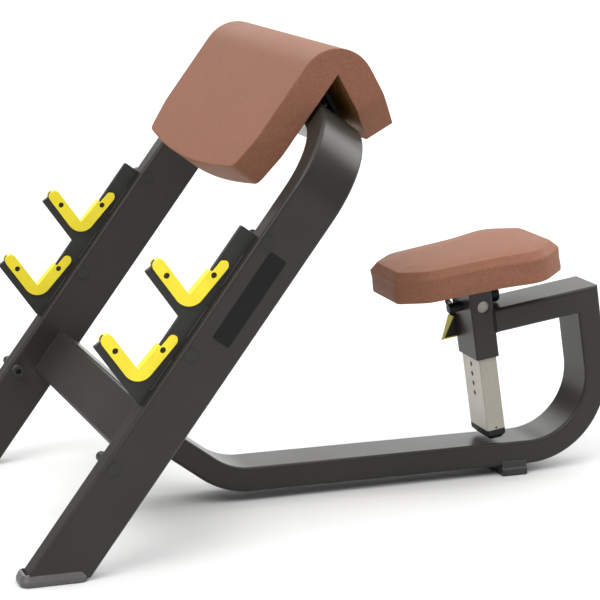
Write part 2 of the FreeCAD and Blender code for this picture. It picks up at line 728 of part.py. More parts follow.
def guard_outline(vertex):
    """Side view of a guard: a V band with round tips and a large radius below."""
    tip = guard_arm + guard_tip
    front_in = cradle_point(vertex, front_arm, tip, 0)
    front_out = cradle_point(vertex, front_arm, tip, guard_depth)
    rear_in = cradle_point(vertex, rear_arm, tip, 0)
    rear_out = cradle_point(vertex, rear_arm, tip, guard_depth)
    return [(*front_in, guard_tip), (*vertex, rack_round), (*rear_in, guard_tip), (*rear_out, guard_tip),
            (*v_corner(vertex, guard_depth), guard_bend), (*front_out, guard_tip)]


guard_half = guard_thickness / 2
rack_half = rack_thickness / 2
screw_shapes = []
weld_shapes = []
for name, side in leg_sides.items():
    y = side * leg_y
    rack = slab(rack_corners, y - rack_half, y + rack_half)
    guards = {"upper": upper_vertex, "lower": lower_vertex}
    for level, vertex in guards.items():
        guard = slab(guard_outline(vertex), y - guard_half, y + guard_half).cut(rack)
        for arm in (front_arm, rear_arm):
            slit_low = guard_arm - guard_slit_back
            slit_marks = ((slit_low, -1), (plate_tip, -1), (plate_tip, guard_web), (slit_low, guard_web))
            slit = [(*cradle_point(vertex, arm, along, depth), 0) for along, depth in slit_marks]
            guard = guard.cut(slab(slit, y - rack_half, y + rack_half))
        for arm in (front_arm, rear_arm):
            x, z = cradle_point(vertex, arm, guard_screw_at, guard_depth / 2)
            head_y = y - guard_half + guard_screw_sink
            nut_y = y + guard_half - guard_screw_sink
            shank = rod(Vec(x, head_y, z), ACROSS * (nut_y - head_y), guard_screw_radius)
            head = rod(Vec(x, head_y, z), ACROSS * guard_screw_sink, guard_screw_head)
            nut = rod(Vec(x, nut_y - guard_screw_sink, z), ACROSS * guard_screw_sink, guard_screw_head)
            key = rod(Vec(x, head_y, z), ACROSS * (guard_screw_sink / 2), guard_socket_radius)
            counterbore = rod(Vec(x, y - guard_half, z), ACROSS * guard_thickness, guard_screw_head)
            mid_web = rod(Vec(x, head_y + guard_screw_sink, z),
                          ACROSS * (nut_y - head_y - 2 * guard_screw_sink), guard_screw_head)
            screw = shank.fuse([head, nut]).removeSplitter()
            guard = guard.cut(counterbore.cut(mid_web)).cut(shank)
            rack = rack.cut(shank)
            screw_shapes.append(screw.cut(key))
        put(name + "_" + level + "_guard", guard, leg_frame)
    put(name + "_rack_plate", rack, leg_frame)
    for index in range(weld_count):
        low = weld_first + index * weld_pitch
        for face in (-1, 1):
            foot_y = y + face * rack_half
            corner = [Vec(low, foot_y, 0), Vec(low, foot_y + face * weld_leg, 0), Vec(low, foot_y, weld_leg)]
            bead = Part.Face(Part.makePolygon(corner + corner[:1]))
            weld_shapes.append(bead.extrude(Vec(weld_length, 0, 0)))
put("guard_screws", screw_shapes, leg_frame)
put("rack_welds", weld_shapes, leg_frame)

# Leg bolts: flat capped heads on one side, round knob nuts on the other
bolt_shapes = []
knob_shapes = []
for name, side in leg_sides.items():
    for height in leg_bolt_heights:
        head_y = side * leg_y - tube_thin / 2
        nut_y = side * leg_y + tube_thin / 2
        shank = rod(Vec(height, head_y, -leg_bolt_depth), ACROSS * (tube_thin + leg_thread), leg_bolt_radius)
        socketed = name == "right" and height == min(leg_bolt_heights)
        head_height = leg_socket_height if socketed else leg_cap_height
        head_radius = leg_socket_radius if socketed else leg_cap_radius
        head_start = Vec(height, head_y - head_height, -leg_bolt_depth)
        bolt = rod(head_start, ACROSS * head_height, head_radius).fuse(shank).removeSplitter()
        if socketed:
            bolt = bolt.cut(rod(head_start, ACROSS * leg_socket_depth, leg_socket_key))
        bolt_shapes.append(bolt)
        knob = rod(Vec(height, nut_y, -leg_bolt_depth), ACROSS * leg_knob_length, leg_knob_radius)
        rim = [edge for edge in knob.Edges if edge.BoundBox.YMin > nut_y + leg_knob_length - 1]
        knob = knob.makeFillet(leg_knob_round, rim)
        knob_shapes.append(knob.cut(shank))
put("leg_bolts", bolt_shapes, leg_frame)
put("leg_knob_nuts", knob_shapes, leg_frame)

# Pad geometry in the leg frame: the front wing lies on the straps along the leg, and the back wing's
# strap touches the rounded back corner of the top bar
bar_top = top_bar_slope_height + tube_thin / 2
bar_low = top_bar_slope_height - tube_thin / 2
fall = math.radians(180 + leg_rake + chest_slope)
back_way = Vec(-math.cos(fall), 0, math.sin(fall))
back_out = Vec(-back_way.z, 0, back_way.x)
corner_centre = Vec(bar_top - tube_corner, 0, -tube_wide + tube_corner)
strap_touch = corner_centre.dot(back_out) + tube_corner


def v_point(front_level, back_level):
    """Point of the pad's profile at heights above the front plane and the back plane."""
    level = strap_touch + back_level
    return ((level - front_level * back_out.z) / back_out.x, front_level)


def back_point(along, back_level):
    """Point at a distance down the back wing from the straps' outer bend."""
    bend = v_point(strap_thickness, strap_thickness)
    step = back_way * along + back_out * (back_level - strap_thickness)
    return (bend[0] + step.x, bend[1] + step.z)


# Straps and their bolts
strap_low = bar_low - strap_front_drop
strap_corners = [(strap_low, 0, 0), (*v_point(0, 0), strap_bend), (*back_point(strap_back_length, 0), 0),
                 (*back_point(strap_back_length, strap_thickness), 0),
                 (*v_point(strap_thickness, strap_thickness), strap_bend + strap_thickness),
                 (strap_low, strap_thickness, 0)]
strap_bolt_spots = []
for spot in (strap_low + strap_bolt_margin, bar_low - strap_bolt_margin, bar_top + strap_bolt_margin):
    strap_bolt_spots.append((Vec(spot, 0, 0), Vec(0, 0, 1)))
bend_to_bar = corner_centre.sub(Vec(v_point(0, 0)[0], 0, 0)).dot(back_way)
for spot in (bend_to_bar - 2 * strap_bolt_margin, bend_to_bar - 5 * strap_bolt_margin):
    x, z = back_point(spot, 0)
    strap_bolt_spots.append((Vec(x, 0, z), back_out))
strap_bolts = []
for name, side in leg_sides.items():
    y = side * strap_spacing / 2
    strap = slab(strap_corners, y - strap_width / 2, y + strap_width / 2)
    for spot, out in strap_bolt_spots:
        at = spot + ACROSS * y
        shank = rod(at, out * (strap_thickness + strap_bolt_grip), strap_bolt_radius)
        head = rod(at - out * strap_bolt_head_height, out * strap_bolt_head_height, strap_bolt_head)
        strap = strap.cut(shank)
        strap_bolts.append(head.fuse(shank).removeSplitter())
    put(name + "_pad_strap", strap, leg_frame)
put("strap_bolts", strap_bolts, leg_frame)

# Boards: front board along the leg, chest board down the back, mitred at the bend
pad_half = pad_width / 2
board_half = pad_half - pad_board_margin
board_level = strap_thickness + pad_board_thickness
board_low = pad_front_low + pad_front_bow + pad_board_margin
board_back = pad_back_length - pad_board_margin


def board_corners(gap):
    """Profiles of the two boards, grown by a gap for the pocket that holds them."""
    bend_in = v_point(strap_thickness, strap_thickness)
    bend_out = v_point(board_level + gap, board_level + gap)
    front = [(board_low - gap, strap_thickness, 0), (*bend_in, 0), (*bend_out, 0),
             (board_low - gap, board_level + gap, 0)]
    back = [(*bend_in, 0), (*back_point(board_back + gap, strap_thickness), 0),
            (*back_point(board_back + gap, board_level + gap), 0), (*bend_out, 0)]
    return front, back


# Corner cuts of the two wings, as wedges square to each wing
def front_wedge(side, inset):
    high = pad_front_low + pad_front_taper
    low = pad_front_low + pad_front_bow
    edge = side * (pad_half - inset)
    wide = side * 2 * pad_half
    slope = pad_front_taper_in / (high - low)
    low_far = low - pad_thickness
    points = [Vec(high, edge, -1), Vec(low_far, edge - side * slope * (high - low_far), -1),
              Vec(low_far, wide, -1), Vec(high, wide, -1)]
    return Part.Face(Part.makePolygon(points + points[:1])).extrude(Vec(0, 0, 2 * pad_thickness))


def back_wedge(side, inset):
    high = pad_back_length - pad_back_taper
    far = pad_back_length + pad_thickness
    slope = pad_back_taper_in / pad_back_taper
    edge = side * (pad_half - inset)
    wide = side * 2 * pad_half
    points = []
    for along, y in ((high, edge), (far, edge - side * slope * (far - high)), (far, wide), (high, wide)):
        x, z = back_point(along, 0)
        points.append(Vec(x, y, z))
    return Part.Face(Part.makePolygon(points + points[:1])).extrude(back_out * (2 * pad_thickness))


boards = dict(zip(("arm_board", "chest_board"), board_corners(0)))
for name, corners in boards.items():
    board = slab(corners, -board_half, board_half)
    for side in leg_sides.values():
        board = board.cut(front_wedge(side, pad_board_margin)).cut(back_wedge(side, pad_board_margin))
    for bolt in strap_bolts:
        board = board.cut(bolt)
    put(name, board, leg_frame)


def pad_profile(shrink):
    """Side view of the pad's upholstery, its outer surface lowered by shrink."""
    level = strap_thickness + pad_thickness - shrink
    low = pad_front_low + shrink
    back_low = pad_back_length - shrink
    bend = v_point(strap_thickness, strap_thickness)
    return [(low, strap_thickness, pad_hem_radius), (*bend, pad_hem_radius),
            (*back_point(back_low, strap_thickness), pad_hem_radius),
            (*back_point(back_low, level), pad_edge_radius),
            (*v_point(level, level), pad_apex_radius - shrink), (low, level, pad_edge_radius)]


pad_stations = ((-pad_half, pad_end_bevel), (pad_end_run - pad_half, 0.0), (0.0, -pad_crown),
                (pad_half - pad_end_run, 0.0), (pad_half, pad_end_bevel))
pad = loft([outline_wire(pad_profile(shrink), y) for y, shrink in pad_stations])
bow_radius = (board_half ** 2 + pad_front_bow ** 2) / (2 * pad_front_bow)
bow_disc = Part.makeCylinder(bow_radius, 2 * pad_thickness, Vec(pad_front_low + bow_radius, 0, -1))
low_strip = Part.makeBox(pad_front_bow + 1, 4 * pad_half, 2 * pad_thickness,
                         Vec(pad_front_low - pad_crown - 1, -2 * pad_half, -1))
pad = pad.cut(low_strip.cut(bow_disc))
for side in leg_sides.values():
    pad = pad.cut(front_wedge(side, 0)).cut(back_wedge(side, 0))
for corners in board_corners(soft_clearance):
    pocket = slab(corners, -board_half - soft_clearance, board_half + soft_clearance)
    for side in leg_sides.values():
        pocket = pocket.cut(front_wedge(side, pad_board_margin - soft_clearance))
        pocket = pocket.cut(back_wedge(side, pad_board_margin - soft_clearance))
    pad = pad.cut(pocket)
put("pad_cushion", pad, leg_frame)

# Write every node
os.makedirs("parts", exist_ok=True)
for name, shape in nodes.items():
    for solid in shape.Solids:
        if not solid.isValid():
            print("invalid solid in", name)
    print(name, len(shape.Solids), round(shape.Volume / 1000.0, 1), "cm3")
    shape.exportStep("parts/" + name + ".step")
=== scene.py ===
import math
import bmesh
import bpy
from mathutils import Matrix, Vector
from mathutils.kdtree import KDTree


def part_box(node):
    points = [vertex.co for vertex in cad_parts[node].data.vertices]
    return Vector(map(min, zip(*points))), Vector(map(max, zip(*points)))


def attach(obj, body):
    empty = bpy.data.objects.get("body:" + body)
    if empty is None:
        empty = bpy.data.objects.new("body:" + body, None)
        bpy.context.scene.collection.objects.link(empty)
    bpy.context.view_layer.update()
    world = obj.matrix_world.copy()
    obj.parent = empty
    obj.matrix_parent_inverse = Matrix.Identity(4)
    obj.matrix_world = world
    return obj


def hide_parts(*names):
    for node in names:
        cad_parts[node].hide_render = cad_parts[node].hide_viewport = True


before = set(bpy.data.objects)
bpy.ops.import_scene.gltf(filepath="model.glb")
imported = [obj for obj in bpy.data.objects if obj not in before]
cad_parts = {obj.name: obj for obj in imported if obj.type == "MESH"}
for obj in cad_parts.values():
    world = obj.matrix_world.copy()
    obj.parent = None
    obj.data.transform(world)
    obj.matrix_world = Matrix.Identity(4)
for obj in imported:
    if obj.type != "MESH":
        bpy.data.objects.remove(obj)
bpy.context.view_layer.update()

# Hoop frame: one flat 100 by 50 mm steel tube bent into an inverted U. A crossbeam of the same tube, a
# wider seat beam and its mitred arm are welded on, and then all of it is powder coated in satin
# charcoal, so the coat is one skin with a faint orange peel.


class Wire:
    """A socket of a node tree that can be used in sums, and that adds other nodes to its tree."""

    def __init__(self, tree, socket=None):
        self.tree = tree
        self.socket = socket

    def make(self, kind, inputs=None, out=0, **settings):
        """A new node with its inputs set or linked, as the wire of one of its outputs."""
        node = self.tree.nodes.new(kind)
        for name, value in settings.items():
            setattr(node, name, value)
        for name, value in (inputs or {}).items():
            if isinstance(value, Wire):
                self.tree.links.new(value.socket, node.inputs[name])
            else:
                node.inputs[name].default_value = value
        return Wire(self.tree, node.outputs[out] if len(node.outputs) else None)

    def sum(self, operation, first, second):
        """Two values put together, of which either may be a plain number."""
        return self.make("ShaderNodeMath", {0: first, 1: second}, operation=operation)

    def __add__(self, other):
        return self.sum("ADD", self, other)

    def __radd__(self, other):
        return self.sum("ADD", other, self)

    def __sub__(self, other):
        return self.sum("SUBTRACT", self, other)

    def __mul__(self, other):
        return self.sum("MULTIPLY", self, other)

    def noise(self, size, detail=2.0, roughness=0.5):
        """Cloudy value between 0 and 1 whose patches measure about size metres."""
        look = {"Vector": self, "Scale": 1.0 / size, "Detail": detail, "Roughness": roughness}
        return self.make("ShaderNodeTexNoise", look, out="Fac")

    def span(self, low, high, to_low=0.0, to_high=1.0):
        """The value's stretch between low and high, spread over a new range and held at its ends."""
        ends = {"From Min": low, "From Max": high, "To Min": to_low, "To Max": to_high}
        return self.make("ShaderNodeMapRange", {"Value": self, **ends}, out="Result")

    def blend(self, first, second):
        """One colour turning into another as this value goes from 0 to 1."""
        return self.make("ShaderNodeMix", {0: self, 6: first, 7: second}, out=2, data_type="RGBA")

    def stretched(self, x, y, z):
        """Coordinates squeezed along each axis, so that a pattern on them is drawn out there."""
        return self.make("ShaderNodeMapping", {"Vector": self, "Scale": (x, y, z)}, out="Vector")

    def part(self, axis):
        """The X, Y or Z part of coordinates."""
        return self.make("ShaderNodeSeparateXYZ", {0: self}, out=axis)

    def relief(self, height, depth):
        """Surface normal bent by a height pattern of a depth in metres."""
        return self.make("ShaderNodeBump", {"Height": height, "Distance": depth}, out="Normal")


def tint(red, green, blue):
    """Colour of a paint chart, 0 to 255, as the shader's linear values."""
    def linear(value):
        share = value / 255.0
        return share / 12.92 if share <= 0.04045 else ((share + 0.055) / 1.055) ** 2.4
    return (linear(red), linear(green), linear(blue), 1.0)


def new_finish(name):
    """An empty material, its shader, and the place on the piece that its patterns read."""
    material = bpy.data.materials.new(name)
    material.use_nodes = True
    tree = material.node_tree
    place = Wire(tree).make("ShaderNodeTexCoord", out="Object")
    return material, tree.nodes["Principled BSDF"], place


def feed(shader, **sockets):
    """Set or link sockets of a shader, named with underscores for spaces."""
    for name, value in sockets.items():
        socket = shader.inputs[name.replace("_", " ")]
        if isinstance(value, Wire):
            value.tree.links.new(value.socket, socket)
        else:
            socket.default_value = value


def powder_coat(name, dark, light, grain, depth, rough):
    """Baked powder coat: fine orange peel, faint cloudiness and a little dust."""
    material, shader, place = new_finish(name)
    cloud = place.noise(0.16, 4.0)
    speck = place.noise(grain, 2.0)
    dust = place.noise(0.011, 5.0, 0.7).span(0.56, 0.8)
    feed(shader, Base_Color=(cloud * 0.7 + speck * 0.3).span(0.3, 0.7).blend(dark, light),
         Roughness=cloud.span(0.2, 0.8, rough - 0.04, rough + 0.05) + dust * 0.08,
         Normal=place.relief(speck, depth), IOR=1.32)
    return material


frame_paint = powder_coat("satin_charcoal_coat", tint(44, 42, 39), tint(50, 48, 44),
                          grain=0.0011, depth=0.00005, rough=0.3)
tube_wide = 0.1
tube_thin = 0.05
tube_corner = 0.0072
bend_radius = 0.15
leg_rake = math.radians(53.4)
seat_lean = math.radians(8.5)
leg_place = Matrix.Translation((-1.1215, 0, 0)) @ Matrix.Rotation(-leg_rake, 4, "Y")
seat_place = Matrix.Translation((-0.0595, 0, 0.251)) @ Matrix.Rotation(-seat_lean, 4, "Y")


def new_tree(name, **sizes):
    """An empty Geometry Nodes tree with a base mesh and named inputs, as the wires of its inputs."""
    tree = bpy.data.node_groups.new(name, "GeometryNodeTree")
    tree.interface.new_socket("Base", in_out="INPUT", socket_type="NodeSocketGeometry")
    for label, kind in sizes.items():
        tree.interface.new_socket(label, in_out="INPUT", socket_type="NodeSocket" + kind)
    tree.interface.new_socket("Piece", in_out="OUTPUT", socket_type="NodeSocketGeometry")
    entry = tree.nodes.new("NodeGroupInput")
    return {socket.name: Wire(tree, socket) for socket in entry.outputs if socket.name}


def end_tree(shape, finish):
    """Close a tree: real geometry, its finish, and the tree's output."""
    real = shape.make("GeometryNodeRealizeInstances", {"Geometry": shape})
    coated = real.make("GeometryNodeSetMaterial", {"Geometry": real, "Material": finish})
    coated.make("NodeGroupOutput", {0: coated})
    return shape.tree


def stood(name, mesh):
    """A new object at the origin that shows a mesh."""
    piece = bpy.data.objects.new(name, mesh)
    bpy.context.scene.collection.objects.link(piece)
    return piece


def settle(piece):
    """Turn a piece with its modifiers into a plain mesh."""
    bpy.context.view_layer.update()
    seen = piece.evaluated_get(bpy.context.evaluated_depsgraph_get())
    mesh = bpy.data.meshes.new_from_object(seen)
    piece.modifiers.clear()
    piece.data = mesh
    return piece


def shaped(name, tree, base, **sizes):
    """Run a Geometry Nodes tree over a base mesh and keep what it makes."""
    piece = stood(name, base)
    modifier = piece.modifiers.new("shape", "NODES")
    modifier.node_group = tree
    for item in tree.interface.items_tree:
        if item.in_out == "INPUT" and item.name in sizes:
            modifier[item.identifier] = sizes[item.name]
    return settle(piece)


def polish(piece, crease=40):
    """Smooth the shading up to a crease angle, with flat faces kept flat."""
    piece.data.shade_smooth()
    piece.data.set_sharp_from_angle(angle=math.radians(crease))
    weights = piece.modifiers.new("flats", "WEIGHTED_NORMAL")
    weights.keep_sharp = True
    return settle(piece)


def dress(piece, finish, slot, body, *nodes):
    """Give a piece its finish and the body it moves with, and hide the solids that it stands for."""
    piece.data.materials.clear()
    piece.data.materials.append(finish)
    if nodes:
        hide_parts(*nodes)
    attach(piece, body)
    return piece


def kept(shape, name):
    """A worked shape as a new mesh, with its faces turned outward."""
    bmesh.ops.recalc_face_normals(shape, faces=shape.faces)
    mesh = bpy.data.meshes.new(name)
    shape.to_mesh(mesh)
    shape.free()
    return mesh


tube = new_tree("flat_tube", Wide="Float", Thin="Float", Corner="Float", Bend="Float",
                Finish="Material")
route = tube["Base"].make("GeometryNodeMeshToCurve", {"Mesh": tube["Base"]})
route = route.make("GeometryNodeFilletCurve",
                   {"Curve": route, "Count": 28, "Radius": tube["Bend"]}, mode="POLY")
route = route.make("GeometryNodeSetCurveNormal", {"Curve": route}, mode="Z_UP")
section = route.make("GeometryNodeCurvePrimitiveQuadrilateral",
                     {"Width": tube["Thin"], "Height": tube["Wide"]})
section = section.make("GeometryNodeFilletCurve",
                       {"Curve": section, "Count": 6, "Radius": tube["Corner"]}, mode="POLY")
skin = section.make("GeometryNodeCurveToMesh",
                    {"Curve": route, "Profile Curve": section, "Fill Caps": True})
flat_tube = end_tree(skin, tube["Finish"])


def bent_tube(name, node, points, place, cuts=(), wide=tube_wide):
    """Tube along a route in its own flat plane, put in place, cut level or mitred, and coated."""
    base = bpy.data.meshes.new(name)
    links = [(i, i + 1) for i in range(len(points) - 1)]
    base.from_pydata([(x, y, 0) for x, y in points], links, [])
    piece = shaped(name, flat_tube, base, Wide=wide, Thin=tube_thin, Corner=tube_corner,
                   Bend=bend_radius, Finish=frame_paint)
    piece.data.transform(place)
    shape = bmesh.new()
    shape.from_mesh(piece.data)
    bmesh.ops.remove_doubles(shape, verts=shape.verts, dist=1e-6)
    for point, outward, reach in cuts:
        faces = [face for face in shape.faces if (face.calc_center_median() - point).length < reach]
        parts = list({part for face in faces for part in (*face.verts, *face.edges, face)})
        bmesh.ops.bisect_plane(shape, geom=parts, plane_co=point, plane_no=outward, clear_outer=True)
        rim = [edge for edge in shape.edges if edge.is_boundary]
        bmesh.ops.holes_fill(shape, edges=rim, sides=0)
    piece.data = kept(shape, name)
    dress(polish(piece, 30), frame_paint, "frame_paint", "frame", node)


def axes(x_axis, y_axis, z_axis):
    """Turn that sends the three axes to the given directions."""
    return Matrix((x_axis, y_axis, z_axis)).transposed().to_4x4()


leg_y = 0.395
hoop_height = 1.002
hoop_end = -0.1
socket_floor = 0.006
hoop_middle = Matrix.Translation((0, 0, -tube_wide / 2))
hoop_plane = leg_place @ hoop_middle @ axes((0, 1, 0), (1, 0, 0), (0, 0, -1))
hoop_route = [(-leg_y, hoop_end), (-leg_y, hoop_height), (leg_y, hoop_height), (leg_y, hoop_end)]
floor_cut = (Vector((0, 0, socket_floor)), Vector((0, 0, -1)), 9.0)
bent_tube("painted_hoop", "main_hoop", hoop_route, hoop_plane, [floor_cut])

crossbeam_height = 0.335
leg_inner = leg_y - tube_thin / 2
crossbeam_at = Matrix.Translation((crossbeam_height, 0, tube_thin / 2 - tube_wide))
crossbeam_plane = leg_place @ crossbeam_at @ axes((0, 1, 0), (0, 0, 1), (1, 0, 0))
crossbeam_route = [(-leg_inner, 0), (leg_inner, 0)]
bent_tube("painted_crossbeam", "crossbeam", crossbeam_route, crossbeam_plane)

arm_start = 0.025
arm_height = 0.075
riser_distance = 0.235
beam_height = 0.0447
beam_wide = 0.11
mitre_reach = 0.2
beam_start = leg_place @ Vector((crossbeam_height, 0, -tube_wide))
dip_end = beam_start.x + (beam_start.z - beam_height) * math.tan(leg_rake)
mitre = seat_place @ Vector((riser_distance, 0, arm_height))
mitre_up = seat_place.to_3x3() @ Vector((-1, 0, 1))
riser_foot = mitre.x + (mitre.z - beam_height) * math.tan(seat_lean)
riser_top = mitre + tube_thin * Vector((-math.sin(seat_lean), 0, math.cos(seat_lean)))
beam_route = [(beam_start.x, beam_start.z), (dip_end, beam_height), (riser_foot, beam_height),
              (riser_top.x, riser_top.z)]
upright = axes((1, 0, 0), (0, 0, 1), (0, -1, 0))
beam_cut = (mitre, mitre_up, mitre_reach)
bent_tube("painted_seat_beam", "seat_beam", beam_route, upright, [beam_cut], beam_wide)
arm_route = [(arm_start, arm_height), (riser_distance + tube_thin, arm_height)]
arm_cut = (mitre, -mitre_up, mitre_reach)
bent_tube("painted_seat_arm", "seat_arm", arm_route, seat_place @ upright, [arm_cut], beam_wide)

# Seat sleeve: a short length of rectangular steel tube welded to the end of the seat arm, drilled for
# the sight hole, the lock pin and the clamp stud, and coated with the frame.


def bevelled(piece, width, steps, angle):
    """Round over the edges of a piece that turn by more than an angle in degrees."""
    rounding = piece.modifiers.new("edge", "BEVEL")
    rounding.width = width
    rounding.segments = steps
    rounding.limit_method = "ANGLE"
    rounding.angle_limit = math.radians(angle)
    return settle(piece)


def eased(name, node, edge, steps=2):
    """The shape of a solid with its sharp edges rounded over."""
    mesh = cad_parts[node].data.copy()
    for layer in ("custom_normal", "sharp_edge", "sharp_face"):
        if layer in mesh.attributes:
            mesh.attributes.remove(mesh.attributes[layer])
    shape = bmesh.new()
    shape.from_mesh(mesh)
    bmesh.ops.remove_doubles(shape, verts=shape.verts, dist=2e-5)
    bmesh.ops.dissolve_limit(shape, angle_limit=math.radians(0.5), verts=shape.verts, edges=shape.edges)
    shape.to_mesh(mesh)
    shape.free()
    piece = stood(name, mesh)
    if edge:
        bevelled(piece, edge, steps, 30)
    return polish(piece)


def clad(name, node, edge, finish, slot, body, steps=2):
    """A solid with its edges eased and its finish on, on the body that it moves with."""
    return dress(eased(name, node, edge, steps), finish, slot, body, node)


clad("painted_sleeve", "seat_sleeve", 0.0006, frame_paint, "frame_paint", "frame")

# Weld beads of the frame: a fillet run by hand round the crossbeam's ends, the root of the seat beam
# and the seat arm's end on the sleeve, laid in overlapping ripples and coated with the frame.
bead = new_tree("weld_bead", Throat="Float", Ripple="Float", Finish="Material")
run = bead["Base"].make("GeometryNodeMeshToCurve", {"Mesh": bead["Base"]})
run = run.make("GeometryNodeResampleCurve", {"Curve": run, "Length": bead["Ripple"] * 0.25},
               mode="LENGTH")
step = run.make("GeometryNodeInputIndex")
wave = step.make("ShaderNodeMath", {0: step * (math.pi / 4)}, operation="SINE")
wander = run.make("ShaderNodeTexNoise", {"Scale": 90.0, "Detail": 1.0})
wave = wave.make("ShaderNodeMath", {0: wave}, operation="ABSOLUTE")
run = run.make("GeometryNodeSetCurveRadius",
               {"Curve": run, "Radius": 0.8 + wave * 0.16 + wander * 0.22})
bead_ring = run.make("GeometryNodeCurvePrimitiveCircle",
                     {"Resolution": 10, "Radius": bead["Throat"]})
skin = run.make("GeometryNodeCurveToMesh",
                {"Curve": run, "Profile Curve": bead_ring, "Fill Caps": True})
weld_bead = end_tree(skin, bead["Finish"])


def welded(name, lines, throat, ripple, finish):
    """Beads along straight lines between points, joined as one piece."""
    points = []
    links = []
    for line in lines:
        first = len(points)
        links += [(first + i, first + i + 1) for i in range(len(line) - 1)]
        points += line
    base = bpy.data.meshes.new(name)
    base.from_pydata(points, links, [])
    piece = shaped(name, weld_bead, base, Throat=throat, Ripple=ripple, Finish=finish)
    piece.data.shade_smooth()
    return piece


end_ring = [(0.048, 0.0), (0.048, 0.05), (-0.048, 0.05), (-0.048, 0.0)]
joint_lines = [[leg_place @ Vector((crossbeam_height + t, y, n - tube_wide)) for t, n in end_ring]
               for y in (-leg_inner, leg_inner)]
root_ring = [(0.0245, -0.049), (0.0245, 0.049), (-0.0245, 0.049), (-0.0245, -0.049), (0.0245, -0.049)]
joint_lines.append([leg_place @ Vector((crossbeam_height + t, y, -tube_wide)) for t, y in root_ring])
arm_ring = [(-0.049, 0.0245), (-0.049, -0.0245), (0.049, -0.0245), (0.049, 0.0245), (-0.049, 0.0245)]
joint_lines.append([seat_place @ Vector((arm_start, y, arm_height + z)) for y, z in arm_ring])
frame_welds = welded("frame_weld_beads", joint_lines, 0.0017, 0.0030, frame_paint)
dress(frame_welds, frame_paint, "frame_paint", "frame")

# Foot shoes: grey plastic mouldings that the cut leg ends stand in, with drafted sides, a stepped brim
# and an open pocket in front of the leg. They are pushed on and held by the weight of the frame.
shoe_finish, shader, place = new_finish("moulded_grey_plastic")
spark = place.noise(0.0006, 3.0)
scuff = place.stretched(1.0, 1.0, 6.0).noise(0.02, 5.0, 0.7).span(0.55, 0.85)
feed(shader, Base_Color=scuff.blend(tint(82, 80, 80), tint(110, 108, 106)),
     Roughness=scuff * 0.2 + 0.42, Normal=place.relief(spark, 0.00012), IOR=1.46)
shoe_corner = 0.017
shoe_levels = ((0.003, 0.0), (0.0008, 0.001), (0.0, 0.0035), (0.0, 0.0105), (0.001, 0.0122),
               (0.0048, 0.02), (0.006, 0.0214), (0.0078, 0.022))
leg_foot = tube_wide / math.sin(leg_rake)
over_brim = 0.03
toe_floor = 0.0062
toe_reach = (0.0105, 0.04)
toe_half = 0.0195


def rounded(low, high, radius, level, steps):
    """Level loop round a rectangle, from the low and high centres of its round corners."""
    loop = []
    for quarter, (x, y) in enumerate((high, (low[0], high[1]), low, (high[0], low[1]))):
        for step in range(steps + 1):
            turn = math.radians(90 * (quarter + step / steps))
            loop.append(Vector((x + radius * math.cos(turn), y + radius * math.sin(turn), level)))
    return loop


def lofted(name, loops, ring=False, poles=None):
    """A mesh through like loops of points, closed at its ends by flats or poles, or into a ring."""
    shape = bmesh.new()
    rows = [[shape.verts.new(point) for point in loop] for loop in loops]
    for low, high in zip(rows, rows[1:] + rows[:1] if ring else rows[1:]):
        for index in range(len(low)):
            after = (index + 1) % len(low)
            shape.faces.new((low[index], low[after], high[after], high[index]))
    if poles:
        for row, pole in zip((rows[0], rows[-1]), poles):
            tip = shape.verts.new(pole)
            for index in range(len(row)):
                shape.faces.new((row[index], row[(index + 1) % len(row)], tip))
    elif not ring:
        shape.faces.new(rows[0])
        shape.faces.new(rows[-1])
    return kept(shape, name)


def carved(piece, rooms):
    """Take the room of closed forms out of a piece, each form given by its corner points."""
    for corners in rooms:
        shape = bmesh.new()
        bmesh.ops.convex_hull(shape, input=[shape.verts.new(corner) for corner in corners])
        room = stood("room", kept(shape, "room"))
        cut = piece.modifiers.new("room", "BOOLEAN")
        cut.object = room
        settle(piece)
        bpy.data.objects.remove(room)
    return piece


for side, y in (("left", -leg_y), ("right", leg_y)):
    low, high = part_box(side + "_foot_shoe")
    half = (high[1] - low[1]) / 2 - shoe_corner
    hubs = (low[0] + shoe_corner, y - half), (high[0] - shoe_corner, y + half)
    loops = [rounded(*hubs, shoe_corner - inset, level, 8) for inset, level in shoe_levels]
    leg_front = leg_place.translation.x
    leg_room = [Vector((leg_front + level / math.tan(leg_rake) + along, y + across, level))
                for level in (socket_floor, over_brim) for along in (0.0, leg_foot)
                for across in (-tube_thin / 2, tube_thin / 2)]
    toe_room = [Vector((low[0] + along, y + across, level)) for level in (toe_floor, over_brim)
                for along in toe_reach for across in (-toe_half, toe_half)]
    name = side + "_moulded_shoe"
    shoe = polish(carved(stood(name, lofted(name, loops)), [leg_room, toe_room]), 30)
    dress(shoe, shoe_finish, "shoe_grey", "frame", side + "_foot_shoe")

# Rear foot: a black rubber boot that clips up round the seat beam, moulded with a broad sole and a
# ridge along each side.
rubber, shader, place = new_finish("moulded_black_rubber")
bloom = place.noise(0.03, 4.0)
feed(shader, Base_Color=bloom.span(0.35, 0.75).blend(tint(40, 40, 39), tint(50, 49, 48)),
     Roughness=bloom.span(0.2, 0.8, 0.36, 0.5), Normal=place.relief(place.noise(0.0007, 2.0), 0.0001),
     IOR=1.5)
boot_side = [(0.06, 0.0), (0.0625, 0.0015), (0.0635, 0.004), (0.0635, 0.0112), (0.0626, 0.0142),
             (0.0602, 0.0158), (0.0587, 0.0172), (0.0582, 0.0192), (0.0582, 0.028), (0.0574, 0.0302),
             (0.056, 0.031), (0.0551, 0.0304), (0.0551, 0.0196)]
boot_rows = ((-0.028, 0.003), (-0.0271, 0.0011), (-0.025, 0.0), (0.025, 0.0), (0.0271, 0.0011),
             (0.028, 0.003))
boot_inner = 0.0555
sole_level = 0.001
brim_level = 0.029
loops = []
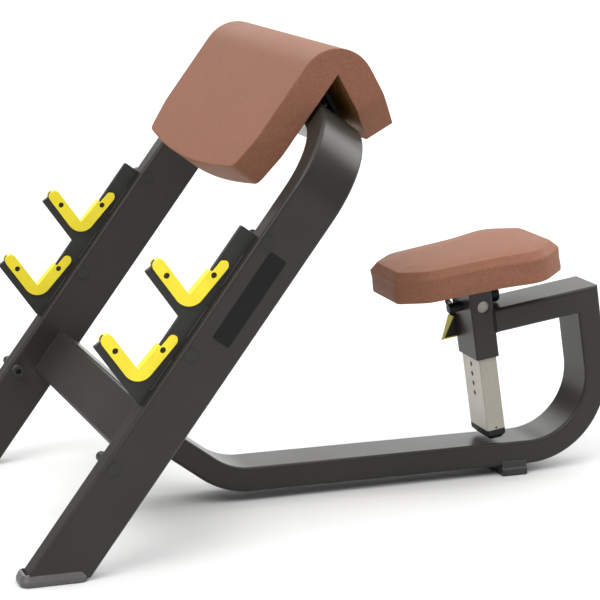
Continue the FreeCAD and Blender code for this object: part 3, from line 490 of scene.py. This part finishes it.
for x, inset in boot_rows:
    half = []
    for y, z in boot_side:
        lift = inset / 2 if z < sole_level else -inset / 2 if z > brim_level else 0.0
        half.append((y - inset if y > boot_inner else y, z + lift))
    loops.append([(x, y, z) for y, z in half] + [(x, -y, z) for y, z in reversed(half)])
boot = polish(stood("moulded_boot", lofted("moulded_boot", loops)))
dress(boot, rubber, "rubber_black", "frame", "rear_foot")

# Rack plates: 10 mm laser cut steel plates with two bar cradles each, stitch welded down the front of
# the legs and coated black with a fine texture.
rack_paint = powder_coat("fine_black_coat", tint(44, 44, 43), tint(52, 52, 50),
                         grain=0.0007, depth=0.00009, rough=0.46)
cradle_lift = 0.044
cradle_heights = {"upper": 0.597, "lower": 0.436}
cradle_axis = math.radians(90 - 3.25) - leg_rake
cradle_spread = math.radians(38.75)
rear_arm = cradle_axis - cradle_spread
front_arm = cradle_axis + cradle_spread
arm_middle = 0.012
plate_tip = 0.078
tip_radius = 0.0113
tip_thick = 0.0098
weld_starts = (0.417, 0.530, 0.643)
weld_length = 0.068
weld_side = 0.0062
weld_lift = 0.0012


def cradle_spot(side, level, arm, along, depth, across=0.0):
    """Point of a bar cradle: along one arm from its vertex, under its inner face, across the plate."""
    under = depth if arm == rear_arm else -depth
    y = across - leg_y if side == "left" else across + leg_y
    t = cradle_heights[level] + along * math.cos(arm) + under * math.sin(arm)
    n = cradle_lift + along * math.sin(arm) - under * math.cos(arm)
    return leg_place @ Vector((t, y, n))


for side in ("left", "right"):
    plate = eased(side + "_cut_rack", side + "_rack_plate", 0.0008)
    shape = bmesh.new()
    shape.from_mesh(plate.data)
    for level in cradle_heights:
        tip = Matrix.Translation(cradle_spot(side, level, front_arm, plate_tip, arm_middle))
        bmesh.ops.create_cone(shape, cap_ends=True, segments=40, radius1=tip_radius, radius2=tip_radius,
                              depth=tip_thick, matrix=tip @ Matrix.Rotation(math.radians(90), 4, "X"))
    shape.to_mesh(plate.data)
    shape.free()
    dress(polish(plate, 30), rack_paint, "rack_paint", "frame", side + "_rack_plate")
weld_lines = [[leg_place @ Vector((t, y + face, weld_lift)) for t in (low, low + weld_length)]
              for y in (-leg_y, leg_y) for face in (-weld_side, weld_side) for low in weld_starts]
stitches = welded("rack_stitch_welds", weld_lines, 0.0024, 0.0036, rack_paint)
dress(stitches, rack_paint, "rack_paint", "frame", "rack_welds")

# Cradle guards: yellow plastic V mouldings pushed over the rack plates, so the plate shows in the step
# at the rear tip and in the slit at the front one. Two socket screws go through guard and plate.
guard_finish, shader, place = new_finish("moulded_yellow_plastic")
mottle = place.noise(0.05, 3.0)
rub = place.stretched(1.0, 0.2, 1.0).noise(0.009, 6.0, 0.75).span(0.6, 0.9)
shade = mottle.span(0.3, 0.7).blend(tint(234, 214, 36), tint(242, 224, 44))
feed(shader, Base_Color=(rub * 0.5).blend(shade, tint(186, 172, 50)), Roughness=0.36 + rub * 0.2,
     Normal=place.relief(place.noise(0.0009, 2.0), 0.00006), IOR=1.47)
web_step = [(0.058, -0.002), (0.095, -0.002), (0.058, 0.006), (0.095, 0.006)]
end_slot = [(0.068, 0.011), (0.095, 0.011), (0.068, 0.026), (0.095, 0.026)]
tip_middle = (0.0805, 0.015)
tip_cuts = []
for step in range(5):
    turns = [math.radians(18 * step - 1), math.radians(18 * step + 19)]
    tip_cuts.append([(tip_middle[0] + reach * math.sin(turn), tip_middle[1] - reach * math.cos(turn))
                     for turn in turns for reach in (0.009, 0.02)])
rear_cuts = (rear_arm, 0.011, [web_step] + tip_cuts)
front_cuts = (front_arm, 0.0052, [end_slot])
for name in ("left_upper", "left_lower", "right_upper", "right_lower"):
    side, level = name.split("_")
    rooms = [[cradle_spot(side, level, arm, along, depth, across)
              for along, depth in outline for across in (-half, half)]
             for arm, half, outlines in (rear_cuts, front_cuts) for outline in outlines]
    guard = carved(eased(name + "_moulded_guard", name + "_guard", 0.0012, 3), rooms)
    dress(polish(guard, 30), guard_finish, "guard_yellow", "frame", name + "_guard")

# Guard screws: blackened button-head socket screws with a hexagon key hole, eight of them, each with a
# nut sunk in the guard's other face.
screw_steel, shader, place = new_finish("blackened_steel")
worn = place.noise(0.0015, 4.0, 0.7)
feed(shader, Base_Color=worn.span(0.45, 0.75).blend(tint(46, 45, 44), tint(96, 94, 90)), Metallic=0.85,
     Roughness=worn.span(0.3, 0.7, 0.3, 0.5))
fixing = new_tree("fixings_on_points", Fixing="Object", Turn="Vector", Finish="Material")
spots = fixing["Base"].make("GeometryNodeMeshToPoints", {"Mesh": fixing["Base"]})
pattern = spots.make("GeometryNodeObjectInfo", {"Object": fixing["Fixing"]}, out="Geometry")
laid = spots.make("GeometryNodeInstanceOnPoints",
                  {"Points": spots, "Instance": pattern, "Rotation": fixing["Turn"]})
fixings_on_points = end_tree(laid, fixing["Finish"])


def lathe(profile, sides=24, corners=0):
    """Closed shape turned about Z from (radius, height) steps; the first steps may be a key hole."""
    rings = []
    for step, (radius, height) in enumerate(profile):
        ring = []
        for index in range(sides):
            angle = 2 * math.pi * index / sides
            reach = radius
            if step < corners:
                reach *= math.cos(math.pi / 6) / math.cos(angle % (math.pi / 3) - math.pi / 6)
            ring.append((reach * math.cos(angle), reach * math.sin(angle), height))
        rings.append(ring)
    return lofted("turned", rings)


def fixed(name, pattern, points, turn, finish):
    """One piece of like fixings, standing at points and turned alike."""
    sample = stood(name + "_pattern", pattern)
    base = bpy.data.meshes.new(name)
    base.from_pydata(points, [], [])
    piece = shaped(name, fixings_on_points, base, Fixing=sample, Turn=turn, Finish=finish)
    bpy.data.objects.remove(sample)
    return polish(piece, 35)


def joined(name, *pieces):
    """Several pieces of one finish as one."""
    shape = bmesh.new()
    for piece in pieces:
        shape.from_mesh(piece.data)
        bpy.data.objects.remove(piece)
    return polish(stood(name, kept(shape, name)), 35)


screw_along = 0.055
guard_face = 0.0062
near_turn = (math.radians(90), 0, 0)
far_turn = (math.radians(-90), 0, 0)
screws = [(side, level, arm, screw_along, arm_middle) for side in ("left", "right")
          for level in cradle_heights for arm in (front_arm, rear_arm)]
screw_heads = [cradle_spot(*screw, -guard_face) for screw in screws]
screw_nuts = [cradle_spot(*screw, guard_face) for screw in screws]
button = lathe([(0.003, 0.0003), (0.003, 0.0014), (0.0039, 0.0017), (0.0049, 0.0013), (0.0056, 0.0004),
                (0.0056, 0.0)], corners=2)
nut = lathe([(0.0032, 0.0012), (0.0032, 0.0018), (0.0051, 0.0018), (0.0056, 0.0012), (0.0056, 0.0)])
heads = fixed("screw_heads", button, screw_heads, near_turn, screw_steel)
nuts = fixed("screw_nuts", nut, screw_nuts, far_turn, screw_steel)
guard_screws = joined("guard_socket_screws", heads, nuts)
dress(guard_screws, screw_steel, "bolt_steel", "frame", "guard_screws")

# Leg bolts: painted flat caps on thin washers on the near side of each leg, and one socket head on the
# far leg, through both walls of the leg, each drawn up by a round black plastic knob nut.
clad("painted_leg_bolts", "leg_bolts", 0.0006, rack_paint, "frame_paint", "frame")
black_plastic, shader, place = new_finish("moulded_black_plastic")
haze = place.noise(0.012, 4.0)
feed(shader, Base_Color=haze.span(0.3, 0.7).blend(tint(14, 14, 14), tint(22, 22, 21)),
     Roughness=haze.span(0.2, 0.8, 0.46, 0.6), Normal=place.relief(place.noise(0.0006, 2.0), 0.00006),
     IOR=1.38)
clad("moulded_leg_knobs", "leg_knob_nuts", 0.0006, black_plastic, "plastic_black", "frame")
washer = lathe([(0.002, 0.001), (0.0135, 0.001), (0.0147, 0.0007), (0.015, 0.0)], 40)
bolt_heights = (0.266, 0.509, 0.752)
bolt_depth = -0.017
washer_spots = [leg_place @ Vector((t, y - tube_thin / 2, bolt_depth))
                for y in (-leg_y, leg_y) for t in bolt_heights]
washers = fixed("leg_cap_washers", washer, washer_spots, near_turn, frame_paint)
dress(washers, frame_paint, "frame_paint", "frame")

# Bare plate on the outer face of the near leg: a thin dark plastic plate with rounded corners, cut
# from sheet and stuck on.
plate_finish, shader, place = new_finish("satin_dark_plate")
film = place.noise(0.02, 3.0)
feed(shader, Base_Color=film.span(0.3, 0.7).blend(tint(10, 10, 10), tint(16, 16, 16)),
     Roughness=film.span(0.2, 0.8, 0.3, 0.4), IOR=1.3)
plate_corner = 0.004
plate_hubs = (0.561, -0.064), (0.739, -0.035)
plate_thick = 0.0006
plate_face = -leg_y - tube_thin / 2
plate_rim = rounded(*plate_hubs, plate_corner, 0.0, 6)
plate_loops = [[leg_place @ Vector((spot.x, y, spot.y)) for spot in plate_rim]
               for y in (plate_face, plate_face - plate_thick)]
bare_plate = stood("bare_leg_plate", lofted("bare_plate", plate_loops))
dress(bare_plate, plate_finish, "plastic_black", "frame")

# Pad straps: two 50 mm steel straps bent over the hoop's top bar and welded to it, with five bolts each
# that go up into the pad's boards.
for side in ("left", "right"):
    clad(side + "_bent_strap", side + "_pad_strap", 0.0006, rack_paint, "rack_paint", "frame")
zinc, shader, place = new_finish("dull_zinc_steel")
tarnish = place.noise(0.004, 4.0, 0.65)
feed(shader, Base_Color=tarnish.span(0.35, 0.7).blend(tint(118, 116, 112), tint(158, 156, 150)),
     Metallic=1.0, Roughness=tarnish.span(0.3, 0.7, 0.3, 0.46))
clad("strap_bolt_set", "strap_bolts", 0.0006, zinc, "bolt_steel", "frame")

# Pad boards: two 12 mm plywood boards, stained dark amber, mitred along the bend and bolted to the
# straps.
plywood, shader, place = new_finish("stained_plywood")
rings = place.stretched(14.0, 1.0, 14.0).noise(0.06, 6.0, 0.6)
fibre = place.stretched(30.0, 1.0, 30.0).noise(0.03, 3.0, 0.6)
stain = (rings * 0.7 + fibre * 0.3).span(0.35, 0.65)
feed(shader, Base_Color=stain.blend(tint(112, 74, 26), tint(150, 104, 44)),
     Roughness=fibre.span(0.3, 0.7, 0.5, 0.66), Normal=place.relief(fibre, 0.00012))
for name in ("arm_board", "chest_board"):
    clad("plywood_" + name, name, 0.0004, plywood, "board", "frame", 1)

# Arm pad: one moulded foam block over both boards, covered in brown artificial leather that is drawn
# tight over a big round apex and stapled round the back of the boards.
leather, shader, place = new_finish("brown_leathercloth")
cells = place.make("ShaderNodeTexVoronoi", {"Vector": place, "Scale": 620.0}, out="Distance")
pores = place.noise(0.0011, 3.0, 0.6)
crease = place.noise(0.013, 4.0, 0.6)
tone = place.noise(0.12, 3.0)
pebble = place.noise(0.0034, 3.0, 0.7)
hide = (tone * 0.75 + crease * 0.25).span(0.3, 0.7).blend(tint(131, 90, 71), tint(141, 98, 78))
grain = cells.span(0.0, 0.8) * 0.35 + pores * 0.25 + pebble * 0.4
feed(shader, Base_Color=pebble.span(0.62, 0.36, 0.0, 0.5).blend(hide, tint(110, 73, 56)),
     Roughness=tone.span(0.3, 0.7, 0.46, 0.54) + pores * 0.06, Normal=place.relief(grain, 0.0003),
     IOR=1.17)
seam_angle = 25
seam_hold = 0.045
cloth_frames = 20


def stuffed(name, mesh, edge, give, held):
    """A cover over foam: blown out against its own cloth, held below and most at its sewn edges."""
    shape = bmesh.new()
    shape.from_mesh(mesh)
    seams = []
    for fold in shape.edges:
        if fold.calc_face_angle(0) > math.radians(seam_angle):
            start, end = fold.verts
            seams += [start.co.copy(), (start.co + end.co) / 2]
    shape.free()
    sewn = KDTree(len(seams))
    for index, spot in enumerate(seams):
        sewn.insert(spot, index)
    sewn.balance()
    piece = bevelled(stood(name, mesh), edge, 3, seam_angle)
    before = [vertex.co.copy() for vertex in piece.data.vertices]
    group = piece.vertex_groups.new(name="held")
    pinned = [vertex.index for vertex in piece.data.vertices if held(vertex.co)]
    group.add(pinned, 1.0, "REPLACE")
    cover = piece.modifiers.new("cover", "CLOTH")
    cover.settings.quality = 5
    cover.settings.use_pressure = True
    cover.settings.uniform_pressure_force = 4.0
    cover.settings.vertex_group_mass = "held"
    cover.settings.effector_weights.gravity = 0.0
    cover.point_cache.frame_start = 1
    cover.point_cache.frame_end = cloth_frames
    for number in range(1, cloth_frames + 1):
        bpy.context.scene.frame_set(number)
    settle(piece)
    bpy.context.scene.frame_set(1)
    for vertex, old in zip(piece.data.vertices, before):
        moved = vertex.co - old
        room = give * min(1.0, sewn.find(old)[2] / seam_hold) ** 0.7
        if moved.length > room:
            vertex.co = old + moved * (room / moved.length)
    piece.vertex_groups.clear()
    even = piece.modifiers.new("even", "SMOOTH")
    even.factor = 0.3
    even.iterations = 2
    fine = piece.modifiers.new("fine", "SUBSURF")
    fine.levels = 1
    fine.render_levels = 1
    settle(piece)
    piece.data.shade_smooth()
    return piece


in_leg = leg_place.inverted()
back_pitch = math.radians(61.3)
fall = math.pi + leg_rake + back_pitch
up_leg = Vector((1, 0, 0))
back_way = Vector((-math.cos(fall), 0, math.sin(fall)))
back_out = Vector((-back_way.z, 0, back_way.x))
bar_corner = Vector((hoop_height + tube_thin / 2 - tube_corner, 0, tube_corner - tube_wide))
strap_touch = bar_corner.dot(back_out) + tube_corner
strap_level = 0.008
board_level = strap_level + 0.0123
pad_level = strap_level + 0.0608
pad_half = 0.3
pad_low = hoop_height - 0.189
pad_bow = 0.0205
pad_hem = 0.016
pad_corner = 0.015
pad_back = 0.146
apex_radius = 0.075
front_cut = 0.089
front_taper = 0.024 / (front_cut - pad_bow)
back_cut = 0.068
back_taper = 0.038 / back_cut


def v_point(level):
    """Where the planes at one level above the pad's two straps meet, in the leg's frame."""
    return Vector(((strap_touch + level - level * back_out.z) / back_out.x, 0, level))


inner_bend = v_point(strap_level)
outer_bend = v_point(pad_level)
arc_turn = up_leg.angle(back_way)
arc_reach = apex_radius * math.tan(arc_turn / 2)
arc_start = outer_bend - up_leg * arc_reach
arc_middle = arc_start + Vector((0, 0, -apex_radius))
half_arc = apex_radius * arc_turn / 2


def outer_line(distance):
    """Point at a distance along the pad's outer face, from the apex's middle down either wing."""
    turn = max(-half_arc, min(half_arc, distance)) / apex_radius + arc_turn / 2
    spot = arc_middle + apex_radius * Vector((math.sin(turn), 0, math.cos(turn)))
    if distance < -half_arc:
        spot += up_leg * (distance + half_arc)
    if distance > half_arc:
        spot += back_way * (distance - half_arc)
    return spot


def pad_half_at(spot, on_back):
    """Half the pad's width at a point, drawn in where its corners are cut."""
    if on_back:
        down = (spot - inner_bend).dot(back_way)
        return pad_half - back_taper * max(0.0, down - (pad_back - back_cut))
    return pad_half - front_taper * max(0.0, pad_low + front_cut - spot.x)


hem_line = pad_low + pad_bow + pad_hem
hem_outer = Vector((hem_line, 0, pad_level))
hem_inner = Vector((hem_line, 0, strap_level))
stations = [(share, hem_outer, hem_inner, False) for share in (0.0, 0.2, 0.42, 0.68)]
hem_rows = len(stations)
front_rows = 30
front_length = arc_start.x - hem_line + half_arc
for index in range(front_rows):
    share = index / front_rows
    outer = outer_line((share - 1) * front_length)
    stations.append((None, outer, hem_inner + up_leg * share * (inner_bend.x - hem_line), False))
pad_depth = back_out * (pad_level - strap_level)
back_rows = 20
back_edge = pad_back - pad_hem
back_length = back_edge + (inner_bend + pad_depth - outer_bend).dot(back_way) + half_arc - arc_reach
for index in range(back_rows):
    share = index / back_rows
    inner = inner_bend + back_way * (share * back_edge)
    stations.append((None, outer_line(share * back_length), inner, True))
for index in range(hem_rows):
    inner = inner_bend + back_way * (back_edge + pad_hem * index / (hem_rows - 1))
    stations.append((None, inner + pad_depth, inner, True))
insets = [0.0, 0.008, pad_hem]
layers = 7
columns = 58
wide = len(insets) * 2 + columns - 2
last = len(stations) - 1


def column_at(across, half):
    """How far a column of the pad lies to the side where the pad has this half width."""
    if across < len(insets):
        return insets[across] - half
    if across > wide - len(insets):
        return half - insets[wide - across]
    return (2 * (across - len(insets) + 1) / columns - 1) * (half - pad_hem)


def pad_spot(station, across, layer):
    """Point of the pad's block: a station along its bend, a column across it, a layer through it."""
    share, outer, inner, on_back = station
    spot = inner.lerp(outer, layer / layers)
    half = pad_half_at(spot, on_back)
    if share is not None:
        reach = min(1.0, abs(column_at(across, half)) / (pad_half - pad_hem))
        low = pad_low + pad_bow * reach ** 2
        spot.x = low + share * (hem_line - low)
        turn = max(0.0, 1 - share * pad_hem / pad_corner)
        half = pad_half_at(spot, on_back) - pad_corner * (1 - math.sqrt(1 - turn ** 2))
    return leg_place @ Vector((spot.x, column_at(across, half), spot.z))


shape = bmesh.new()
grid = [(row, across, layer) for row in range(last + 1) for across in range(wide + 1)
        for layer in range(layers + 1)]
block = {}
for row, across, layer in grid:
    if row in (0, last) or across in (0, wide) or layer in (0, layers):
        block[row, across, layer] = shape.verts.new(pad_spot(stations[row], across, layer))
square = ((0, 0), (1, 0), (1, 1), (0, 1))
pocket = []
for row, across, layer in grid:
    if row < last and across < wide and layer in (0, layers):
        face = shape.faces.new([block[row + i, across + j, layer] for i, j in square])
        inside = len(insets) - 1 <= across <= wide - len(insets)
        if layer == 0 and hem_rows <= row <= last - hem_rows and inside:
            pocket.append(face)
    if row < last and layer < layers and across in (0, wide):
        shape.faces.new([block[row + i, across, layer + j] for i, j in square])
    if across < wide and layer < layers and row in (0, last):
        shape.faces.new([block[row, across + i, layer + j] for i, j in square])
raised = bmesh.ops.extrude_face_region(shape, geom=pocket)
bmesh.ops.delete(shape, geom=pocket, context="FACES_ONLY")
lift = v_point(board_level) - inner_bend
for vertex in (part for part in raised["geom"] if isinstance(part, bmesh.types.BMVert)):
    spot = in_leg @ vertex.co
    along = (Vector((spot.x, 0, spot.z)) - inner_bend).dot(back_way)
    if along > 1e-5 and spot.z < strap_level - 1e-5:
        share = 1 - along / back_edge
        square_lift = back_out
    else:
        share = (spot.x - hem_line) / (inner_bend.x - hem_line)
        square_lift = Vector((0, 0, 1))
    spot += lift * share + square_lift * (board_level - strap_level) * (1 - share)
    vertex.co = leg_place @ spot
bmesh.ops.remove_doubles(shape, verts=shape.verts, dist=1e-6)


def pad_held(point):
    """Whether a point of the pad's cover lies at or below the boards' faces."""
    spot = in_leg @ point
    return min(spot.z, spot.dot(back_out) - strap_touch) < board_level + 0.001


pad = stuffed("arm_pad_cover", kept(shape, "arm_pad_cover"), edge=0.0032, give=0.003, held=pad_held)
dress(pad, leather, "upholstery", "frame", "pad_cushion")

# Sleeve bushes: moulded black plastic liners pressed into both ends of the sleeve, the upper one with
# a flange on the rim.
for name in ("upper_bush", "lower_bush"):
    clad("moulded_" + name, name, 0.0004, black_plastic, "plastic_black", "frame")

# Pin barrel: a black turned housing with its cap, welded on the sleeve's front, with a coil spring in
# it. The lever's stub axle stands below it, and the clamp's nut is welded on the sleeve's back.
clad("turned_barrel", "pin_barrel", 0.0006, black_plastic, "plastic_black", "frame")
clad("turned_barrel_cap", "barrel_cap", 0.0012, black_plastic, "plastic_black", "frame", 3)
clad("coiled_spring", "pin_spring", 0.0, zinc, "bolt_steel", "frame")
clad("turned_lever_axle", "lever_axle", 0.0006, zinc, "bolt_steel", "frame")
clad("painted_clamp_nut", "clamp_nut", 0.0003, frame_paint, "frame_paint", "frame")

# Lock pin: a turned steel pin that slides in the barrel, with a collar that the lever's drive rod
# pulls on.
clad("turned_lock_pin", "lock_pin", 0.0005, zinc, "bolt_steel", "pin")

# Release lever: a dark bell crank cut from sheet, with a drive rod above its axle and a folded yellow
# grip strip welded along its front and lower edges.
lever_finish, shader, place = new_finish("yellow_lever_coat")
chip = place.noise(0.004, 6.0, 0.75).span(0.66, 0.8)
feed(shader, Base_Color=(chip * 0.7).blend(tint(208, 200, 78), tint(150, 146, 80)),
     Roughness=0.38 + chip * 0.2, Normal=place.relief(place.noise(0.0009, 2.0), 0.00006), IOR=1.5)
clad("cut_lever_plate", "lever_plate", 0.0005, rack_paint, "rack_paint", "lever")
clad("folded_lever_grip", "lever_grip", 0.0006, lever_finish, "lever_yellow", "lever")
clad("turned_drive_rod", "drive_rod", 0.0004, screw_steel, "bolt_steel", "lever")

# Clamp knob: a black plastic knob moulded on a threaded steel stud, screwed through the nut on the
# sleeve's back wall.
clad("moulded_clamp_knob", "clamp_knob", 0.0008, black_plastic, "plastic_black", "knob")
clad("threaded_clamp_stud", "clamp_stud", 0.0004, zinc, "bolt_steel", "knob")

# Seat post: a satin silver rectangular tube drilled with a row of lock holes, closed below by a black
# plastic cap whose thin lip laps over the tube's end. Two small screws hold the cap.
post = eased("satin_post", "seat_post", 0.0004)
in_seat = seat_place.inverted()
post_spots = [in_seat @ vertex.co for vertex in post.data.vertices]
post_front = min(spot.x for spot in post_spots)
post_back = max(spot.x for spot in post_spots)
post_half = max(spot.y for spot in post_spots)
post_end = min(spot.z for spot in post_spots)
post_corner = 0.004
post_finish, shader, place = new_finish("satin_silver_post")
turned = place.make("ShaderNodeMapping", {"Vector": place, "Rotation": (0, seat_lean, 0)}, out="Vector")
brushed = turned.stretched(1.0, 1.0, 0.03).noise(0.0014, 4.0, 0.6)
smear = turned.noise(0.05, 4.0)
grain = (brushed * 0.6 + smear * 0.4).span(0.3, 0.7)
# Painted light: the front face gets a much lighter silver than the sides, standing in for the bright
# reflection that the front face catches.
front_face = post_front + (Matrix.Rotation(seat_lean, 3, "Y") @ seat_place.translation).x
painted_front_light = turned.part("X").span(front_face + 0.0008, front_face + 0.0003)
feed(shader, Base_Color=painted_front_light.blend(grain.blend(tint(144, 140, 129), tint(160, 156, 144)),
                                     grain.blend(tint(190, 184, 173), tint(206, 200, 188))),
     Roughness=brushed.span(0.3, 0.7, 0.26, 0.36) + smear * 0.05,
     Normal=turned.relief(brushed, 0.00003), IOR=1.65)
dress(post, post_finish, "post_silver", "seat", "seat_post")
lip_steps = ((-0.001, -0.001), (0.0001, -0.001), (0.0001, 0.003), (0.00006, 0.0042), (-0.001, 0.0045))
lip_half = post_half - post_corner
lip_hubs = (post_front + post_corner, -lip_half), (post_back - post_corner, lip_half)
lip_loops = [[seat_place @ spot for spot in rounded(*lip_hubs, post_corner + grow, post_end + rise, 6)]
             for grow, rise in lip_steps]
cap_lip = stood("cap_lip", lofted("cap_lip", lip_loops, ring=True))
post_cap = joined("moulded_post_cap", eased("cap_body", "post_cap", 0.001, 3), cap_lip)
dress(post_cap, black_plastic, "plastic_black", "seat", "post_cap")
clad("post_cap_screws", "cap_screws", 0.0006, screw_steel, "bolt_steel", "seat")

# Seat plate: a steel plate with cut corners welded on the post, with four bolts up into the plywood
# board of the seat.
clad("cut_seat_plate", "seat_plate", 0.0006, rack_paint, "rack_paint", "seat")
clad("seat_bolt_set", "seat_bolts", 0.0006, zinc, "bolt_steel", "seat")
clad("plywood_seat_board", "seat_board", 0.0004, plywood, "board", "seat", 1)

# Seat cushion: a foam block on the seat board, narrow in front and waisted, with a bevelled band round
# its top, covered in the same brown leathercloth and stapled under the board.
seat_low = 0.1603
seat_top = seat_low + 0.063
seat_shoulder = seat_top - 0.016
seat_pocket = seat_low + 0.0123
seat_corners = ((-0.189, 0.069, 0.014), (-0.137, 0.113, 0.05), (0.02, 0.128, 0.16),
                (0.099, 0.152, 0.05), (0.172, 0.086, 0.036))
side_steps = (6, 14, 8, 5, 14, 5, 8, 14, 6, 11)
board_inset = 0.0137
band_inset = 0.015


def seat_ring(inset, height):
    """Outline of the seat drawn in by inset at a height, with as many points at every size."""
    narrow = 0.6 * inset
    draws = ((inset, narrow), (narrow, narrow), (0.0, inset), (0.0, inset), (-inset, narrow))
    right = [(x + along, y - across, radius)
             for (x, y, radius), (along, across) in zip(seat_corners, draws)]
    corners = right + [(x, -y, radius) for x, y, radius in reversed(right)]
    arcs = []
    for index, (x, y, radius) in enumerate(corners):
        here = Vector((x, y, 0))
        before = (Vector((*corners[index - 1][:2], 0)) - here).normalized()
        after = (Vector((*corners[(index + 1) % len(corners)][:2], 0)) - here).normalized()
        half = before.angle(after) / 2
        middle = here + (before + after).normalized() * (radius / math.sin(half))
        start = here + before * (radius / math.tan(half)) - middle
        turn = math.copysign(math.pi - 2 * half, before.cross(after).z)
        arcs.append([middle + Matrix.Rotation(-turn * step / 7, 3, "Z") @ start for step in range(8)])
    ring = []
    for index, (arc, steps) in enumerate(zip(arcs, side_steps)):
        ahead = arcs[(index + 1) % len(arcs)][0]
        ring += arc + [arc[-1].lerp(ahead, step / steps) for step in range(1, steps)]
    return [Vector((spot.x, spot.y, height)) for spot in ring]


seat_side = seat_shoulder - seat_low
rings = [seat_ring(inset, height)
         for inset, height in ((board_inset, seat_pocket), (board_inset, seat_pocket - 0.006),
                               (board_inset, seat_low), (0.008, seat_low), (0.0015, seat_low))]
rings += [seat_ring(draw, seat_low + seat_side * share) for draw, share in
          ((0.0006, 0.16), (0.0008, 0.36), (0.0009, 0.52), (0.0008, 0.68), (0.0006, 0.85))]
rings += [seat_ring(0.0005, seat_shoulder), seat_ring(0.0078, seat_shoulder + 0.008)]
rim = seat_ring(band_inset, seat_top - 0.0005)
middle = Vector((0.0, 0.0, seat_top + 0.0008))
for share in (1.0, 0.92, 0.84, 0.76, 0.68, 0.6, 0.52, 0.44, 0.36, 0.28, 0.2, 0.12, 0.05):
    rings.append([middle + (spot - middle) * share for spot in rim])
seat_loops = [[seat_place @ spot for spot in ring] for ring in rings]
seat_poles = [seat_place @ Vector((0, 0, seat_pocket)), seat_place @ middle]


def seat_held(point):
    """Whether a point of the seat's cover lies at or below the top of its board."""
    return (in_seat @ point).z < seat_pocket + 0.001


seat_mesh = lofted("seat_cover", seat_loops, poles=seat_poles)
seat = stuffed("seat_cover", seat_mesh, edge=0.0022, give=0.003, held=seat_held)
dress(seat, leather, "upholstery", "seat", "seat_cushion")

# Studio: a plain pale floor, a white surround that is brighter overhead and behind the bench, a large
# soft key light above the front and a rim light from the seat's end.
floor_finish, shader, place = new_finish("pale_floor")
wash = place.noise(0.8, 2.0)
feed(shader, Base_Color=wash.blend(tint(208, 208, 208), tint(213, 213, 212)), Roughness=0.85)
floor_half = 30
mesh = bpy.data.meshes.new("studio_floor")
corners = ((-1, -1), (1, -1), (1, 1), (-1, 1))
mesh.from_pydata([(x * floor_half, y * floor_half, 0) for x, y in corners], [], [(0, 1, 2, 3)])
floor = stood("studio_floor", mesh)
floor.data.materials.append(floor_finish)
world = bpy.data.worlds.new("studio")
world.use_nodes = True
sky = Wire(world.node_tree).make("ShaderNodeTexCoord", out="Generated")
aside, depth, height = (sky.part(axis) for axis in "XYZ")
behind = (aside * 0.75 + depth * 0.66).span(0.5, 0.95) * 1.8
panel = (depth * 0.925 + height * 0.38 - aside * 0.02).span(0.962, 0.988) * 2.6
overhead = height.span(0.45, 1.0) * 2.15
feed(world.node_tree.nodes["Background"], Color=(1.0, 1.0, 1.0, 1.0),
     Strength=behind + panel + overhead + 0.22)
bpy.context.scene.world = world
lamps = {"key": ((-0.54, -0.46, 0.8), 38, 1.7), "rim": ((0.85, 0.05, 0.52), 30, 1.2)}
for name, (side, spread, strength) in lamps.items():
    lamp = bpy.data.lights.new(name + "_light", "SUN")
    lamp.angle = math.radians(spread)
    lamp.energy = strength
    holder = bpy.data.objects.new(name + "_light", lamp)
    holder.rotation_euler = (-Vector(side)).to_track_quat("-Z", "Y").to_euler()
    bpy.context.scene.collection.objects.link(holder)
lens = bpy.data.cameras.new("photo_camera")
lens.lens = 137.62
lens.sensor_width = 36.0
camera = bpy.data.objects.new("photo_camera", lens)
camera.location = (-1.93785, -4.22667, 1.34343)
camera.rotation_euler = (math.radians(77.999), 0, math.radians(-19.381))
bpy.context.scene.collection.objects.link(camera)
bpy.context.scene.camera = camera
bpy.context.scene.view_settings.view_transform = "Standard"
